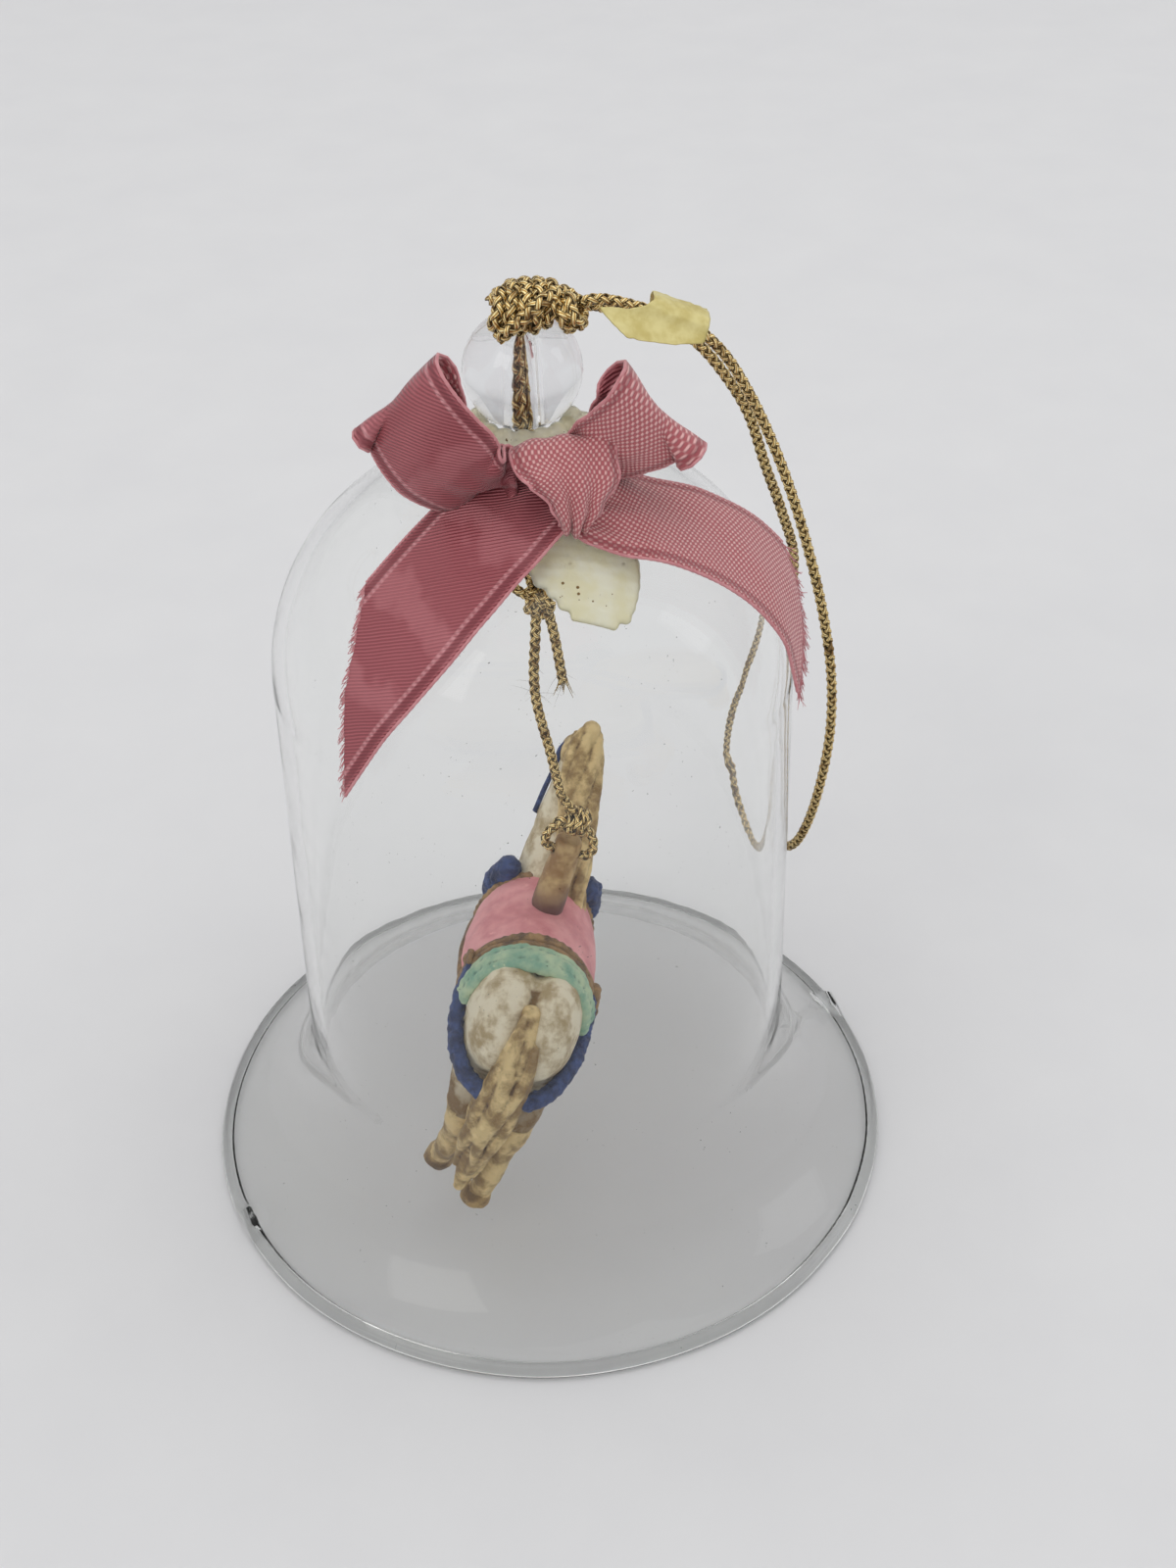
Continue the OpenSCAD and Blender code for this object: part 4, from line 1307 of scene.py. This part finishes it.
# Saddle: painted dusty pink, with a raised border that is brown rubbed with gold.
def painted(name, shade, shadow, light, grain=500, gloss=0.45, bumpy=0.00012):
    made = Finish(name, Specular_IOR_Level=0.4)
    cloud = made.place.noise(grain, 5, 0.6)
    flecks = made.place.noise(grain * 5, 2)
    tone = cloud.between(0.3, 0.7).blend(colour(*shade), colour(*light))
    edge = (made.hollow.between(0.5, 0.45) * 0.8 + cloud.between(0.6, 0.3) * 0.25).blend(tone,
        colour(*shadow))
    made.feed("Base Color", flecks.between(0.66, 0.74).blend(edge, colour(*light)))
    made.feed("Roughness", cloud * 0.2 + (gloss - 0.05))
    made.relief(cloud + flecks * 0.4, bumpy, 0.5)
    return made


PINK = painted("pink_paint", (222, 136, 142), (150, 82, 88), (240, 172, 174), grain=240)
TEAL = painted("teal_paint", (128, 180, 156), (74, 114, 100), (196, 212, 176), grain=300)
BROWN = painted("brown_paint", (100, 74, 50), (48, 32, 22), (172, 136, 90), grain=800)
BLUE = painted("blue_paint", (30, 46, 92), (12, 18, 44), (62, 84, 138), grain=900, bumpy=0.0003)

saddle_mid, saddle_half = Vector((0, -1.2, -13.5)), Vector((6.2, 12.3, 6.7))
saddle_front, saddle_rear, saddle_low = 5.0, -6.2, -14.2


def on_saddle(y, turn, proud=0.0):
    """A place on the saddle's skin: how far forward, and the turn up from its right side."""
    shrink = math.sqrt(1 - ((y - saddle_mid.y) / saddle_half.y) ** 2)
    dish = 0.35 * math.cos((y + 0.6) / 5.6 * math.pi) * math.sin(turn)
    return Vector(((saddle_half.x * shrink + proud) * math.cos(turn), y,
                   saddle_mid.z + (saddle_half.z * shrink + proud - dish) * math.sin(turn)))


rows, columns = 36, 48
bpy.ops.mesh.primitive_grid_add(x_subdivisions=columns, y_subdivisions=rows, size=2)
saddle = bpy.context.object
low_turn = math.radians(-6)
for vertex in saddle.data.vertices:
    u, v = (vertex.co.x + 1) / 2, (vertex.co.y + 1) / 2
    turn = low_turn + (math.pi - 2 * low_turn) * u
    y = saddle_rear + (saddle_front - saddle_rear) * v
    place = on_saddle(y, turn)
    vertex.co = place * MM
plump = saddle.modifiers.new("plump", "SOLIDIFY")
plump.thickness = 1.0 * MM
plump.offset = 0
round_off = saddle.modifiers.new("round_off", "BEVEL")
round_off.width = 0.3 * MM
round_off.segments = 3
apply_all(saddle)
pick(saddle)
bpy.ops.object.mode_set(mode="EDIT")
bpy.ops.mesh.select_all(action="SELECT")
bpy.ops.mesh.normals_make_consistent(inside=False)
bpy.ops.object.mode_set(mode="OBJECT")
for vertex in saddle.data.vertices:
    vertex.co += vertex.normal * chisel(vertex.co / MM, 0.6, 0.1) * MM
saddle.data.transform(hang)
settle(saddle, "saddle_seat", PINK)
horse_piece(saddle, "pink_paint", "saddle")

skin = Skin()
turns = [low_turn + (math.pi - 2 * low_turn) * k / 40 for k in range(41)]
edges = [[on_saddle(saddle_front - 0.2, t, 0.35) for t in turns],
         [on_saddle(saddle_rear + 0.2, t, 0.35) for t in turns]]
steps = [saddle_rear + (saddle_front - saddle_rear) * k / 24 for k in range(25)]
edges += [[on_saddle(y, t, 0.3) for y in steps] for t in (low_turn, math.pi - low_turn)]
for edge in edges:
    line = smooth_line(in_hang(edge), 0.2 * MM)
    skin.tube(round_rings(line, lambda t: (0.52 + 0.06 * math.sin(t * 170)) * MM, 10))
piping = skin.piece("saddle_border", BROWN)
horse_piece(piping, "brown_paint")

# Blanket roll behind the saddle, in two soft folds, teal and fading to a greenish cream.
def over_back(y, half_x, half_z, low, high, middle_z=-13.2):
    """An arc over the horse's back from one turn to another, in degrees up from its right."""
    arc = []
    for k in range(25):
        t = math.radians(low + (high - low) * k / 24)
        arc.append((half_x * math.cos(t), y, middle_z + half_z * math.sin(t)))
    return arc


roll = []
for y, half_x, half_z, r in ((-7.9, 5.9, 6.3, 0.8), (-8.9, 6.0, 6.5, 0.85), (-9.9, 5.8, 6.3, 0.7)):
    roll += [lump(x, at_y + 0.12 * math.sin(z * 1.3), z, r) for x, at_y,
             z in over_back(y, half_x, half_z, 4, 176)]
blanket = clay("blanket_roll_folds", roll, 0.17, 3, TEAL, carve=lambda p: chisel(p, 0.8, 0.14))
horse_piece(blanket, "teal_paint", "blanket_roll")

# Girth: a doubled brown strap round the body, with a rosette on the left and a buckle block
# on the right.
skin = Skin()
for y in (-6.15, -7.05):
    ring = [(6.35 * math.cos(t), y, -13.4 + 6.75 * math.sin(t))
            for t in (2 * math.pi * k / 48 for k in range(49))]
    line = smooth_line(in_hang(ring), 0.3 * MM)
    skin.tube(round_rings(line, lambda t: (0.44 + 0.03 * math.sin(t * 90)) * MM, 10))
girth = skin.piece("girth_strap_doubled", BROWN)
horse_piece(girth, "brown_paint", "girth_strap")
rosette = [lump(-6.4, -6.6, -10.6, 0.55)] + [
    lump(-6.3, -6.6 + 0.7 * math.cos(t), -10.6 + 0.7 * math.sin(t), 0.34)
    for t in (2 * math.pi * k / 7 for k in range(7))]
rosette += drawn_out([(6.2, -6.4, -10.6, 0.75), (6.5, -6.6, -13.0, 0.8), (6.3, -6.8, -15.2, 0.6)], 4)
trims = clay("girth_rosette_and_block", rosette, 0.12, 2, BROWN, carve=lambda p: chisel(p, 1.5, 0.08))
horse_piece(trims, "brown_paint")

# Breeching: a broad blue strap that hangs round the rump, and the blue breast strap and bridle.
breeching = []
for s in (-1, 1):
    route = smooth_line([Vector(p) for p in ((s * 5.9, -7.4, -11.4), (s * 6.2, -9.4, -13.6),
                                             (s * 5.7, -12.2, -15.7),
                                             (s * 4.2, -14.9, -17.2), (s * 2.3, -16.3, -17.9))], 0.4)
    breeching += [lump(p.x, p.y, p.z, 0.75, 0.75, 1.05) for p in route]
breech = clay("breeching_strap_rough", breeching, 0.17, 2, BLUE, carve=lambda p: chisel(p, 1.8, 0.16))
horse_piece(breech, "blue_paint", "breeching_strap")
collar = []
for s in (-1, 1):
    collar += drawn_out([(s * 4.2, 5.6, -7.6, 1.35), (s * 4.7, 6.8, -10.4, 1.5), (s * 4.6, 8.2, -12.4, 1.35),
                         (s * 3.4, 10.2, -14.6, 1.0)], 6)
    collar += drawn_out([(s * 3.4, 10.2, -14.6, 0.9), (s * 1.4, 11.6, -15.2, 0.8), (0, 11.9, -15.3, 0.8)], 5)
breast = clay("breast_strap_rough", collar, 0.2, 2, BLUE, carve=lambda p: chisel(p, 1.6, 0.2))
horse_piece(breast, "blue_paint", "collar_strap")
skin = Skin()
bridle_rings = ((Vector((0, 15.4, 0.5)), Vector((0, 1.3, -1.6)), 1.85),
                (Vector((0, 13.0, 2.1)), Vector((0, 1.6, -0.3)), 2.1))
for middle, facing, r in bridle_rings:
    facing.normalize()
    sideways = Vector((1, 0, 0))
    upward = facing.cross(sideways)
    ring = [middle + sideways * (r * math.cos(t)) + upward * (r * 1.03 * math.sin(t))
            for t in (2 * math.pi * k / 32 for k in range(33))]
    skin.tube(round_rings(smooth_line(in_hang(ring), 0.2 * MM), 0.3 * MM, 8))
for s in (-1, 1):
    rein = [(s * 1.8, 15.2, 0.3), (s * 2.1, 13.4, -0.6), (s * 2.5, 11.8, -2.2), (s * 2.8, 10.4, -4.0)]
    skin.tube(round_rings(smooth_line(in_hang(rein), 0.2 * MM), 0.28 * MM, 8))
bridle = skin.piece("bridle_and_reins", BLUE)
horse_piece(bridle, "blue_paint")


# Pole stub: the sawn-off, tapering end of the carousel pole, with the cord's cross hole.
def stub_resin():
    made = Finish("stub_resin", Specular_IOR_Level=0.4)
    grain = made.place.noise(380, 5, 0.62)
    foot = hang @ Vector((0, 0, -7.2 * MM))
    # Over the lowest few millimetres, down to where the stub meets the saddle, it goes to a purple-brown:
    # painted shade at the stub's foot.
    clear_of_foot_shade = (made.place.axis("Z") - foot.z).between(0.0005, 0.0045)
    wood = grain.between(0.36, 0.64).blend(colour(150, 112, 66), colour(206, 176, 124))
    made.feed("Base Color", (clear_of_foot_shade * 0.9 + 0.1).blend(colour(92, 56, 58), wood))
    made.feed("Roughness", grain * 0.2 + 0.42)
    made.relief(grain, 0.0002, 0.6)
    return made


bpy.ops.mesh.primitive_cone_add(vertices=40, radius1=1.7 * MM, radius2=1.3 * MM, depth=9.4 * MM,
                                location=(0, 0, -3.3 * MM))
stub = bpy.context.object
bpy.ops.object.transform_apply(location=True, rotation=True, scale=True)
bpy.ops.object.mode_set(mode="EDIT")
bpy.ops.mesh.select_all(action="SELECT")
for cut in range(22):
    z = (-7.7 + 0.42 * cut) * MM
    bpy.ops.mesh.select_all(action="SELECT")
    bpy.ops.mesh.bisect(plane_co=(0, 0, z), plane_no=(0, 0, 1))
bpy.ops.object.mode_set(mode="OBJECT")
bpy.ops.mesh.primitive_cylinder_add(vertices=28, radius=0.65 * MM, depth=8 * MM,
                                    rotation=(0, math.pi / 2, 0))
drill = bpy.context.object
soft_edge = stub.modifiers.new("soft_edge", "BEVEL")
soft_edge.width = 0.35 * MM
soft_edge.segments = 4
soft_edge.angle_limit = math.radians(50)
bored = stub.modifiers.new("bored", "BOOLEAN")
bored.object = drill
bored.operation = "DIFFERENCE"
bored.solver = "EXACT"
apply_all(stub)
bpy.data.objects.remove(drill)
for vertex in stub.data.vertices:
    p = vertex.co / MM
    away = Vector((p.x, p.y, 0))
    if away.length > 0.9:
        vertex.co += away.normalized() * chisel(Vector((p.x, p.y, p.z * 0.4)), 0.9, 0.12) * MM
stub.data.transform(hang)
settle(stub, "pole_stub_sawn", stub_resin())
horse_piece(stub, "tan_resin", "pole_stub")
